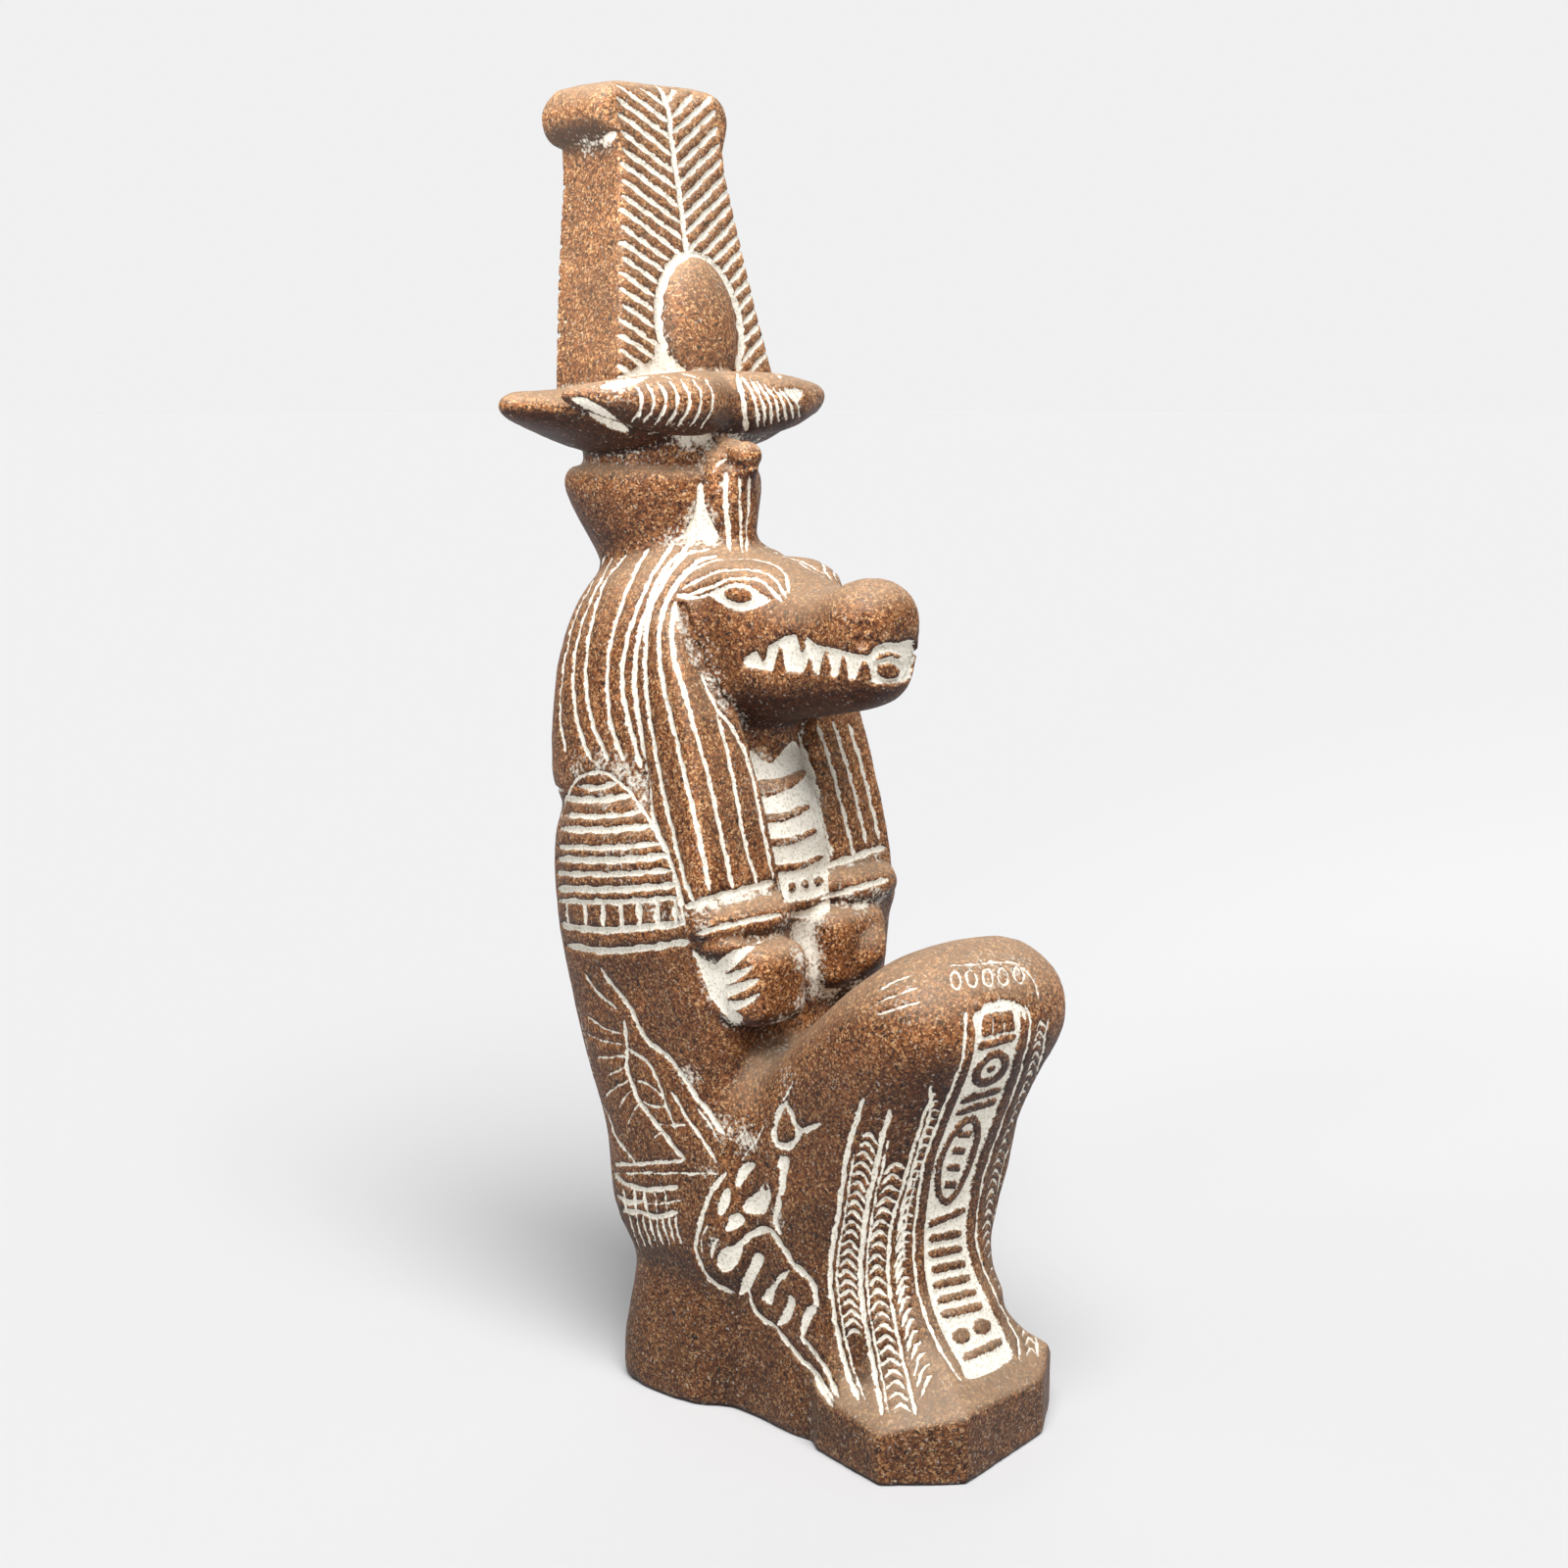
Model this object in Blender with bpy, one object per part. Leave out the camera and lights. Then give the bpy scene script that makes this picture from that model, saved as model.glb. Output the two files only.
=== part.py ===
"""A squatting crocodile-headed figure with a tall plumed crown, carved in one with its base.

The figure faces -Y, its right side is at -X and it stands on Z = 0, with the origin in the middle
of its footprint. Sizes are named in millimetres and become metres through MM.
"""

import math
from typing import NamedTuple

import bmesh
import bpy
from mathutils import Matrix, Vector

MM = 0.001

# Driving sizes of the whole figure
TOTAL_HEIGHT = 244.0
BASE_HALF_WIDTH = 24.0
BASE_FRONT = -41.8
BASE_BACK = 42.5
WAIST_HALF_WIDTH = 19.4
FEET_SKEW = 0.18
GROUND_SNAP = 0.01
CROWN_FOOT = 188.0
CROWN_LEAN = math.radians(9.5)
PLUME_FRONT = 38.6

# Fineness of the carving. The voxel is the step of the fused skin, and the crown, from its drum's
# rim up, is smoothed less than the worn body below it.
RING_POINTS = 40
BALL_SEGMENTS = 32
BALL_RINGS = 20
STEPS_PER_STATION = 5
VOXEL = 1.0
BODY_SMOOTHING = 9
CROWN_SMOOTHING = 3
CROWN_SMOOTHING_FROM = 172.0
TRIANGLE_BUDGET = 8600
BELOW_GROUND = 4.0

# Red-brown speckled stone
STONE_COLOUR = (0.235, 0.098, 0.050, 1.0)
STONE_ROUGHNESS = 0.55


class Station(NamedTuple):
    """One cross-section of a mass.

    at is its place along the mass. low and high are its edges in the first cross direction,
    left and right in the second. squareness is 2 for an ellipse and more for fuller corners.
    """

    at: float
    low: float
    high: float
    left: float
    right: float
    squareness: float


def upright(height, front, back, half_width, squareness=2.5):
    """A level slice of a mass that stands up: its height, front and back edge and half width."""
    return Station(height, front, back, -half_width, half_width, squareness)


def curve_value(before, start, end, after, t):
    """A point between start and end, at share t, on the smooth curve through the four values."""
    linear = end - before
    square = 2 * before - 5 * start + 4 * end - after
    cube = 3 * start - before - 3 * end + after
    return 0.5 * (2 * start + linear * t + square * t**2 + cube * t**3)


def smooth_stations(stations):
    """Fill in slices between the given ones along a smooth curve through them."""
    filled = []
    last = len(stations) - 1
    for index in range(last):
        before = stations[max(index - 1, 0)]
        start = stations[index]
        end = stations[index + 1]
        after = stations[min(index + 2, last)]
        for step in range(STEPS_PER_STATION):
            t = step / STEPS_PER_STATION
            values = [curve_value(*around, t) for around in zip(before, start, end, after)]
            filled.append(Station(*values))
    filled.append(stations[-1])
    return filled


def ring_of(station, place):
    """Points of one slice, a rounded oval between its four edges, put in space by place."""
    middle_u = (station.low + station.high) / 2
    middle_v = (station.left + station.right) / 2
    half_u = (station.high - station.low) / 2
    half_v = (station.right - station.left) / 2
    power = 2 / station.squareness
    points = []
    for index in range(RING_POINTS):
        angle = 2 * math.pi * index / RING_POINTS
        cosine = math.cos(angle)
        sine = math.sin(angle)
        u = middle_u + half_u * math.copysign(abs(cosine) ** power, cosine)
        v = middle_v + half_v * math.copysign(abs(sine) ** power, sine)
        points.append(Vector(place(station.at, u, v)) * MM)
    return points


def along_z(at, u, v):
    """Slices lie level: u runs back along Y and v across along X."""
    return (v, u, at)


def along_z_skewed(at, u, v):
    """Level slices whose front edge runs a little askew, further forward on the figure's right."""
    return (v, u + FEET_SKEW * v, at)


def along_y(at, u, v):
    """Slices stand across the figure: u runs up and v across along X."""
    return (v, at, u)


def along_x(at, u, v):
    """Slices stand from front to back: u runs up and v back along Y."""
    return (at, v, u)


def add_mass(block, stations, place):
    """Skin a row of slices, close both ends and add the closed shape to the block."""
    rings = []
    for station in smooth_stations(stations):
        rings.append([block.verts.new(point) for point in ring_of(station, place)])
    faces = []
    for lower, upper in zip(rings, rings[1:]):
        for index in range(RING_POINTS):
            after = (index + 1) % RING_POINTS
            faces.append(block.faces.new((lower[index], lower[after], upper[after], upper[index])))
    faces.append(block.faces.new(rings[0]))
    faces.append(block.faces.new(rings[-1]))
    bmesh.ops.recalc_face_normals(block, faces=faces)


def add_ball(block, centre, radii, tilt=0.0):
    """Add an egg-shaped lump with its three radii, tipped forward by tilt radians about X."""
    matrix = (
        Matrix.Translation(Vector(centre) * MM)
        @ Matrix.Rotation(tilt, 4, "X")
        @ Matrix.Diagonal((*(Vector(radii) * MM), 1.0))
    )
    bmesh.ops.create_uvsphere(
        block, u_segments=BALL_SEGMENTS, v_segments=BALL_RINGS, radius=1.0, matrix=matrix
    )


def carve_base(block):
    """The low block under the seat and the narrower bridge to the feet."""
    seat = [
        upright(-BELOW_GROUND, 9.0, BASE_BACK, BASE_HALF_WIDTH, 3.4),
        upright(2.0, 9.0, BASE_BACK + 1.0, BASE_HALF_WIDTH + 0.3, 3.4),
        upright(9.0, 8.0, BASE_BACK + 1.0, BASE_HALF_WIDTH - 0.2, 3.4),
        upright(20.0, 6.0, BASE_BACK - 0.4, BASE_HALF_WIDTH - 1.6, 3.4),
        upright(32.0, 6.0, BASE_BACK - 1.0, BASE_HALF_WIDTH - 3.0, 3.0),
    ]
    add_mass(block, seat, along_z)
    bridge = [
        upright(-BELOW_GROUND, -26.0, 34.0, WAIST_HALF_WIDTH, 4.0),
        upright(18.0, -24.0, 34.0, WAIST_HALF_WIDTH, 4.0),
        upright(34.0, -20.0, 34.0, WAIST_HALF_WIDTH + 1.0, 4.0),
        upright(50.0, -18.0, 34.0, WAIST_HALF_WIDTH + 2.2, 3.8),
        upright(60.0, -10.0, 32.0, WAIST_HALF_WIDTH + 1.2, 3.2),
        upright(67.0, -2.0, 28.0, WAIST_HALF_WIDTH - 4.0, 2.6),
    ]
    add_mass(block, bridge, along_z)


def carve_legs(block):
    """Feet, then shins and raised knees under one close garment, as a single upright mass."""
    feet = [
        upright(-BELOW_GROUND, BASE_FRONT + 1.4, -4.0, BASE_HALF_WIDTH - 0.4, 2.7),
        upright(0.0, BASE_FRONT + 0.8, -4.0, BASE_HALF_WIDTH, 2.7),
        upright(3.0, BASE_FRONT, -4.0, BASE_HALF_WIDTH + 0.4, 2.7),
        upright(9.0, BASE_FRONT + 0.6, -4.0, BASE_HALF_WIDTH - 0.2, 2.7),
        upright(13.0, BASE_FRONT + 3.0, -4.0, BASE_HALF_WIDTH - 2.4, 2.5),
        upright(15.6, BASE_FRONT + 7.0, -6.0, BASE_HALF_WIDTH - 6.4, 2.3),
    ]
    add_mass(block, feet, along_z_skewed)
    legs = [
        upright(-BELOW_GROUND, BASE_FRONT + 4.2, -6.0, BASE_HALF_WIDTH - 3.0, 2.7),
        upright(14.0, BASE_FRONT + 5.0, -3.0, BASE_HALF_WIDTH - 3.0, 2.7),
        upright(22.0, -31.0, 8.0, 18.8, 2.9),
        upright(31.0, -26.4, 16.0, 18.4, 3.3),
        upright(41.0, -26.2, 18.0, 19.8, 3.5),
        upright(50.0, -28.6, 18.0, 20.8, 3.4),
        upright(63.0, -33.8, 10.0, 21.6, 3.2),
        upright(75.0, -40.4, -3.0, 22.6, 3.0),
        upright(83.0, -40.2, -12.0, 21.4, 2.7),
        upright(88.4, -36.2, -18.6, 17.4, 2.4),
        upright(91.0, -32.4, -23.4, 12.0, 2.2),
        upright(91.9, -29.6, -26.4, 4.0, 2.0),
    ]
    add_mass(block, legs, along_z)


def carve_torso(block):
    """Back, hips and chest, from the hem of the garment up into the wig."""
    torso = [
        upright(20.5, 4.0, BASE_BACK - 1.6, 19.6, 3.0),
        upright(24.5, 0.0, BASE_BACK + 1.2, 22.4, 3.0),
        upright(34.0, -2.0, BASE_BACK + 6.0, 24.8, 3.0),
        upright(48.0, -2.0, BASE_BACK + 8.2, 25.0, 3.0),
        upright(66.0, 8.0, 57.0, 25.6, 3.0),
        upright(84.0, 12.5, 60.0, 27.6, 3.0),
        upright(96.0, 13.0, 61.6, 28.4, 2.9),
        upright(106.0, 13.5, 62.0, 27.2, 2.8),
        upright(113.0, 16.0, 60.0, 24.0, 2.6),
        upright(122.0, 22.0, 56.0, 20.0, 2.5),
    ]
    add_mass(block, torso, along_z)


def carve_wig(block):
    """The wig over head and shoulders, and its two strands on the chest with their bands."""
    cap = [
        upright(110.4, 23.0, 61.6, 24.4, 2.6),
        upright(112.6, 20.4, 63.8, 26.2, 2.6),
        upright(120.0, 20.0, 64.4, 26.4, 2.6),
        upright(134.0, 21.0, 63.4, 25.2, 2.7),
        upright(145.0, 21.5, 60.6, 23.2, 2.6),
        upright(152.5, 22.0, 56.6, 19.8, 2.5),
        upright(158.0, 26.0, 50.0, 13.6, 2.3),
    ]
    add_mass(block, cap, along_z)
    for side in (-1, 1):
        strand = [
            Station(91.5, 10.6, 24.0, side * 7.0, side * 26.4, 2.3),
            Station(96.0, 9.8, 24.0, side * 6.8, side * 27.0, 2.3),
            Station(106.0, 11.6, 26.0, side * 7.6, side * 25.8, 2.3),
            Station(118.0, 14.6, 30.0, side * 8.6, side * 23.2, 2.3),
            Station(127.0, 16.4, 34.0, side * 10.0, side * 22.8, 2.3),
            Station(136.0, 20.4, 38.0, side * 12.0, side * 22.8, 2.3),
            Station(146.0, 25.6, 42.0, side * 14.0, side * 21.0, 2.2),
        ]
        add_mass(block, strand, along_z)
        band = [
            Station(88.2, 11.0, 22.0, side * 8.0, side * 26.0, 2.3),
            Station(90.4, 8.8, 24.0, side * 6.0, side * 27.6, 2.2),
            Station(94.2, 8.8, 24.0, side * 6.0, side * 27.6, 2.2),
            Station(96.6, 10.4, 22.0, side * 7.4, side * 26.6, 2.3),
        ]
        add_mass(block, band, along_z)


def carve_arms(block):
    """Sleeved upper arms down the sides, bent forearms, and fists held under the wig's strands."""
    for side in (-1, 1):
        upper_arm = [
            Station(70.0, 28.0, 42.0, side * 14.0, side * 23.6, 2.3),
            Station(79.0, 22.0, 47.0, side * 14.0, side * 27.2, 2.3),
            Station(90.0, 17.0, 52.0, side * 14.0, side * 29.0, 2.4),
            Station(104.0, 18.5, 53.0, side * 14.0, side * 29.0, 2.4),
            Station(112.0, 22.0, 50.0, side * 13.0, side * 26.6, 2.3),
            Station(117.0, 28.0, 44.0, side * 12.0, side * 22.0, 2.2),
        ]
        add_mass(block, upper_arm, along_z)
        forearm = [
            Station(46.0, 17.0, 30.0, side * 10.0, side * 20.0, 2.4),
            Station(56.0, 11.4, 32.0, side * 10.0, side * 23.8, 2.4),
            Station(68.0, 9.6, 32.0, side * 10.0, side * 25.0, 2.4),
            Station(80.0, 9.0, 32.0, side * 8.0, side * 26.6, 2.4),
            Station(90.0, 10.0, 32.0, side * 8.0, side * 27.4, 2.4),
        ]
        add_mass(block, forearm, along_z)
        add_ball(block, (side * 13.6, 9.4, 81.8), (9.6, 8.6, 8.4))


def carve_head(block):
    """Skull, long blunt snout with a bulbous nose, and the neck under the jaw."""
    snout = [
        Station(-12.2, 140.0, 149.0, -4.6, 4.6, 2.2),
        Station(-10.4, 134.4, 152.2, -7.6, 7.6, 2.4),
        Station(-5.0, 131.0, 154.2, -9.6, 9.6, 2.5),
        Station(2.0, 129.2, 152.2, -9.8, 9.8, 2.6),
        Station(9.0, 128.0, 153.2, -11.6, 11.6, 2.6),
        Station(16.5, 127.0, 156.6, -13.8, 13.8, 2.7),
        Station(26.0, 126.0, 157.6, -15.4, 15.4, 2.5),
        Station(38.0, 126.0, 157.6, -14.6, 14.6, 2.3),
    ]
    add_mass(block, snout, along_y)
    neck = [
        upright(62.0, 14.0, 34.0, 14.0, 2.4),
        upright(74.0, 9.4, 34.0, 14.0, 2.4),
        upright(86.0, 8.4, 34.0, 14.0, 2.4),
        upright(97.0, 10.4, 34.0, 14.0, 2.4),
        upright(107.0, 10.4, 34.0, 12.0, 2.4),
        upright(113.0, 12.2, 36.0, 10.0, 2.3),
        upright(121.0, 16.6, 38.0, 9.0, 2.3),
        upright(132.0, 17.0, 40.0, 10.0, 2.3),
    ]
    add_mass(block, neck, along_z)


def carve_modius(block):
    """The flared round drum on the head that carries the crown."""
    drum = [
        upright(152.0, 32.0, 58.0, 13.6, 2.1),
        upright(158.0, 31.4, 61.4, 15.4, 2.1),
        upright(165.0, 31.2, 65.6, 18.0, 2.1),
        upright(170.6, 31.0, 68.0, 19.4, 2.1),
        upright(172.6, 31.8, 66.4, 18.4, 2.1),
        upright(174.2, 33.6, 64.2, 16.6, 2.1),
        upright(178.0, 34.0, 62.0, 16.0, 2.1),
    ]
    add_mass(block, drum, along_z)


def carve_horns(block):
    """The wide brim of long flat horns, and the rolled ram horns in front of it."""
    brim = []
    for side in (-1, 1):
        half = [
            Station(side * 40.6, 182.8, 186.0, 46.0, 49.6, 2.0),
            Station(side * 37.0, 181.6, 186.8, 44.4, 53.6, 2.1),
            Station(side * 29.0, 179.2, 187.0, 41.0, 59.4, 2.2),
            Station(side * 19.0, 176.4, 187.6, 35.6, 63.0, 2.3),
        ]
        brim += half if side < 0 else half[::-1]
    brim.insert(4, Station(0.0, 174.0, 188.6, 33.0, 64.0, 2.6))
    add_mass(block, brim, along_x)
    horn = []
    for side in (-1, 1):
        half = [
            Station(side * 26.4, 181.6, 184.8, 33.4, 36.4, 2.0),
            Station(side * 23.6, 181.0, 186.4, 31.2, 39.0, 2.1),
            Station(side * 16.0, 179.8, 188.2, 28.4, 40.0, 2.2),
            Station(side * 8.0, 178.8, 189.4, 26.8, 40.0, 2.2),
        ]
        horn += half if side < 0 else half[::-1]
    horn.insert(4, Station(0.0, 178.4, 189.0, 27.4, 40.0, 2.2))
    add_mass(block, horn, along_x)


def carve_plumes(block):
    """The slab of two tall feathers, leaning back, with curled tips and a domed sun disc in front."""
    rise = TOTAL_HEIGHT - CROWN_FOOT

    def leaning(share, lead, depth, half_width, squareness):
        height = CROWN_FOOT + rise * share
        front = PLUME_FRONT + math.tan(CROWN_LEAN) * rise * share + lead
        return upright(height, front, front + depth, half_width, squareness)

    slab = [
        leaning(-0.12, 0.4, 18.6, 20.8, 10.0),
        leaning(0.06, 0.0, 18.8, 20.0, 10.0),
        leaning(0.36, 0.0, 18.8, 17.3, 10.0),
        leaning(0.78, 0.0, 16.4, 13.1, 10.0),
        leaning(0.90, 0.0, 15.0, 13.0, 8.0),
        leaning(1.0, 1.2, 13.0, 12.0, 4.0),
    ]
    add_mass(block, slab, along_z)
    curl = [
        leaning(0.79, 4.0, 12.0, 13.4, 3.4),
        leaning(0.84, 0.4, 18.8, 15.8, 3.8),
        leaning(0.91, -0.6, 20.4, 17.4, 4.2),
        leaning(0.96, 0.2, 18.4, 16.4, 3.6),
        leaning(0.995, 3.0, 12.6, 12.4, 3.0),
    ]
    add_mass(block, curl, along_z)
    add_ball(block, (0.0, PLUME_FRONT + 2.6, 199.6), (11.6, 4.8, 12.0), CROWN_LEAN)


def carve_uraeus(block):
    """The rearing cobra on the front of the drum: a spread hood and a small head leaning forward."""
    hood = [
        upright(154.0, 27.0, 34.0, 3.4, 2.2),
        upright(160.0, 26.2, 34.0, 4.6, 2.2),
        upright(167.0, 25.6, 34.0, 5.6, 2.2),
        upright(172.0, 26.0, 34.0, 4.6, 2.2),
        upright(176.0, 27.4, 34.0, 3.0, 2.2),
    ]
    add_mass(block, hood, along_z)
    add_ball(block, (0.0, 26.4, 174.8), (3.4, 4.4, 3.0), math.radians(12))


def stone_material():
    """Red-brown speckled stone with a soft satin face."""
    material = bpy.data.materials.new("speckled_stone")
    material.use_nodes = True
    shader = material.node_tree.nodes["Principled BSDF"]
    shader.inputs["Base Color"].default_value = STONE_COLOUR
    shader.inputs["Roughness"].default_value = STONE_ROUGHNESS
    shader.inputs["Metallic"].default_value = 0.0
    material.diffuse_color = STONE_COLOUR
    return material


def applied(rough):
    """A new mesh with the modifiers of an object worked into it."""
    graph = bpy.context.evaluated_depsgraph_get()
    return bpy.data.meshes.new_from_object(rough.evaluated_get(graph))


def ease_edges(mesh):
    """Relax the skin: the worn body more than the crown, whose slab keeps its edges."""
    block = bmesh.new()
    block.from_mesh(mesh)
    body = [vert for vert in block.verts if vert.co.z < CROWN_SMOOTHING_FROM * MM]
    for verts, rounds in ((block.verts[:], CROWN_SMOOTHING), (body, BODY_SMOOTHING - CROWN_SMOOTHING)):
        for _ in range(rounds):
            bmesh.ops.smooth_vert(
                block, verts=verts, factor=0.5, use_axis_x=True, use_axis_y=True, use_axis_z=True
            )
    block.to_mesh(mesh)
    block.free()


def fuse(block, name):
    """Melt the overlapping masses into one skin, ease its edges and keep it to the triangle budget."""
    mesh = bpy.data.meshes.new(name + "_rough")
    block.to_mesh(mesh)
    block.free()
    rough = bpy.data.objects.new(name + "_rough", mesh)
    bpy.context.collection.objects.link(rough)
    melt = rough.modifiers.new("melt", "REMESH")
    melt.mode = "VOXEL"
    melt.voxel_size = VOXEL * MM
    melt.adaptivity = 0.0
    melted = applied(rough)
    rough.modifiers.clear()
    rough.data = melted
    ease_edges(melted)
    thin = rough.modifiers.new("thin", "DECIMATE")
    thin.ratio = TRIANGLE_BUDGET / (2 * len(melted.polygons))
    fused = applied(rough)
    fused.name = name
    bpy.data.objects.remove(rough)
    for spent in (mesh, melted):
        bpy.data.meshes.remove(spent)
    return fused


def cut_underside(mesh):
    """Slice the fused mesh level at the ground and close it with one flat face."""
    block = bmesh.new()
    block.from_mesh(mesh)
    geometry = block.verts[:] + block.edges[:] + block.faces[:]
    cut = bmesh.ops.bisect_plane(
        block,
        geom=geometry,
        dist=1e-6,
        plane_co=(0.0, 0.0, 0.0),
        plane_no=(0.0, 0.0, -1.0),
        clear_outer=True,
    )
    rim = [item for item in cut["geom_cut"] if isinstance(item, bmesh.types.BMEdge)]
    bmesh.ops.contextual_create(block, geom=rim)
    for vert in block.verts:
        if abs(vert.co.z) < GROUND_SNAP * MM:
            vert.co.z = 0.0
    bmesh.ops.recalc_face_normals(block, faces=block.faces[:])
    block.to_mesh(mesh)
    block.free()


def main():
    """Clear the scene, carve every mass, fuse them and finish the figure."""
    for existing in list(bpy.data.objects):
        bpy.data.objects.remove(existing)
    block = bmesh.new()
    for carve in (
        carve_base,
        carve_legs,
        carve_torso,
        carve_wig,
        carve_arms,
        carve_head,
        carve_modius,
        carve_horns,
        carve_plumes,
        carve_uraeus,
    ):
        carve(block)
    mesh = fuse(block, "sobek_figure")
    cut_underside(mesh)
    mesh.materials.append(stone_material())
    figure = bpy.data.objects.new("sobek_figure", mesh)
    bpy.context.collection.objects.link(figure)


main()
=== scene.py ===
"""The looks of a squatting crocodile-headed stone figure: its carving, its stone and its chalk.

One skin stands for the whole carved block. The worn body is taken over from the solid, the crown,
face, hands and bands are modelled anew, everything is melted into one skin, and the lines are cut
into it. Sizes are in millimetres and become metres through MM.
"""

import logging
import math
from dataclasses import dataclass, field
from enum import Enum
from typing import Callable, Iterable, NamedTuple, Protocol, Sequence

import bmesh
import bpy
import numpy as np
from mathutils import Euler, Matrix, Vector
from mathutils.bvhtree import BVHTree
from mathutils.kdtree import KDTree


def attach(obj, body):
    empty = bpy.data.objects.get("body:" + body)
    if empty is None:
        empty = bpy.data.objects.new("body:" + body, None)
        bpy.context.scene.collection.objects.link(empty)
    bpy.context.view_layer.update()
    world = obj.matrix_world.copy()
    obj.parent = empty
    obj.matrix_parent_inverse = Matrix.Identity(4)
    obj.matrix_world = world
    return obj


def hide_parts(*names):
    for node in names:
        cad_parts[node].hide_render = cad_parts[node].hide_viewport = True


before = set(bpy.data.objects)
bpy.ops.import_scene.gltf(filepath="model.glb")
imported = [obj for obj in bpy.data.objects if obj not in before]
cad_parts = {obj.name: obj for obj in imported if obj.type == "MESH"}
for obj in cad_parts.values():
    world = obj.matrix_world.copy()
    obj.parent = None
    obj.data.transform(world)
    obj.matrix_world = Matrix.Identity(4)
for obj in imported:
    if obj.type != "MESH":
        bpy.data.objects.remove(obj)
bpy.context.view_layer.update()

log = logging.getLogger("crocodile_figure")

MM = 0.001
NODE = "sobek_figure"

# The photograph's view: where the eye stands in millimetres, and its turn and downward pitch in degrees.
EYE = (-331.52, -314.98, 187.08)
AZIMUTH = -45.0
PITCH = 8.746

# The height of the sun disc's middle.
DISC_MIDDLE = 199.4

Section = tuple[tuple[float, float, float], tuple[float, float, float]]


def select_only(thing: bpy.types.Object) -> None:
    """Deselect everything, then select one object and make it the active one."""
    bpy.ops.object.select_all(action="DESELECT")
    thing.select_set(True)
    bpy.context.view_layer.objects.active = thing


class Chisel:
    """Shapes one block of stone with edit-mode tools, its sizes given in millimetres."""

    def __init__(self, name: str) -> None:
        """Name the block that is about to be cut."""
        self.name = name
        self.block: bpy.types.Object | None = None

    def _started(self) -> "Chisel":
        """Take over the primitive that was just added."""
        self.block = bpy.context.view_layer.objects.active
        self.block.name = self.name
        select_only(self.block)
        bpy.ops.object.transform_apply(location=True, rotation=True, scale=True)
        return self

    def cube(self, centre: Sequence[float], size: Sequence[float]) -> "Chisel":
        """Start from a cuboid of three side lengths."""
        bpy.ops.mesh.primitive_cube_add(size=1.0, location=Vector(centre) * MM, scale=Vector(size) * MM)
        return self._started()

    def drum(self, centre: Sequence[float], radii: Sequence[float], turn: Sequence[float]) -> "Chisel":
        """Start from a round bar: radius, radius and length, turned by three angles in degrees."""
        bpy.ops.mesh.primitive_cylinder_add(
            vertices=28,
            radius=1.0,
            depth=1.0,
            location=Vector(centre) * MM,
            rotation=[math.radians(angle) for angle in turn],
            scale=Vector(radii) * MM,
        )
        return self._started()

    def egg(self, centre: Sequence[float], radii: Sequence[float], turn: Sequence[float]) -> "Chisel":
        """Start from an egg with three radii, turned by three angles in degrees."""
        bpy.ops.mesh.primitive_uv_sphere_add(
            segments=28,
            ring_count=18,
            radius=1.0,
            location=Vector(centre) * MM,
            rotation=[math.radians(angle) for angle in turn],
            scale=Vector(radii) * MM,
        )
        return self._started()

    def select(self, test: Callable[[bmesh.types.BMFace], bool]) -> "Chisel":
        """Enter edit mode with only the faces selected that pass the test, in millimetres."""
        select_only(self.block)
        bpy.ops.object.mode_set(mode="EDIT")
        bpy.ops.mesh.select_mode(type="FACE")
        bpy.ops.mesh.select_all(action="DESELECT")
        shell = bmesh.from_edit_mesh(self.block.data)
        for face in shell.faces:
            face.select_set(test(face))
        bmesh.update_edit_mesh(self.block.data)
        return self

    def end(self, direction: Sequence[float]) -> "Chisel":
        """Select the face that looks most along a direction and lies furthest that way."""
        way = Vector(direction).normalized()
        select_only(self.block)
        faces = self.block.data.polygons
        furthest = max(faces, key=lambda face: (round(face.normal.dot(way), 2), face.center.dot(way)))
        index = furthest.index
        return self.select(lambda face: face.index == index)

    def grow(self, start: Sequence[float], sections: Iterable[Section]) -> "Chisel":
        """Extrude the selected end through sections, then leave edit mode.

        Args:
            start: Centre of the selected end.
            sections: For each section its centre and its scale against the section before it.

        Returns:
            The chisel itself.
        """
        here = Vector(start)
        for centre, ratio in sections:
            there = Vector(centre)
            bpy.ops.mesh.extrude_region_move(TRANSFORM_OT_translate={"value": (there - here) * MM})
            bpy.ops.transform.resize(value=ratio, center_override=there * MM)
            here = there
        return self.done()

    def bevel(self, width: float, steps: int) -> "Chisel":
        """Round the edges around the selected faces, then leave edit mode."""
        bpy.ops.mesh.bevel(offset=width * MM, segments=steps, profile=0.5, affect="EDGES")
        return self.done()

    def done(self) -> "Chisel":
        """Go back to object mode."""
        bpy.ops.object.mode_set(mode="OBJECT")
        return self


def finish_with(thing: bpy.types.Object, kind: str, **settings: object) -> None:
    """Add a modifier with its settings to an object and apply it."""
    select_only(thing)
    modifier = thing.modifiers.new(kind.lower(), kind)
    for key, value in settings.items():
        setattr(modifier, key, value)
    bpy.ops.object.modifier_apply(modifier=modifier.name)


def soften(thing: bpy.types.Object, voxel: float, rounds: int) -> None:
    """Wear a block's edges round: rebuild it from voxels and smooth it."""
    finish_with(thing, "REMESH", mode="VOXEL", voxel_size=voxel * MM)
    finish_with(thing, "SMOOTH", factor=0.5, iterations=rounds)


def chain(outline: Sequence[tuple[float, ...]]) -> list[Section]:
    """Turn centres and full sizes into centres and scales from one section to the next.

    Args:
        outline: Rows of centre x, y, z and size along x, y, z; the first row is the start.

    Returns:
        The sections after the first.
    """
    sections = []
    for before, after in zip(outline, outline[1:]):
        scale = tuple(b / a if a > 0.0 else 1.0 for a, b in zip(before[3:], after[3:]))
        sections.append((tuple(after[:3]), scale))
    return sections


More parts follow.
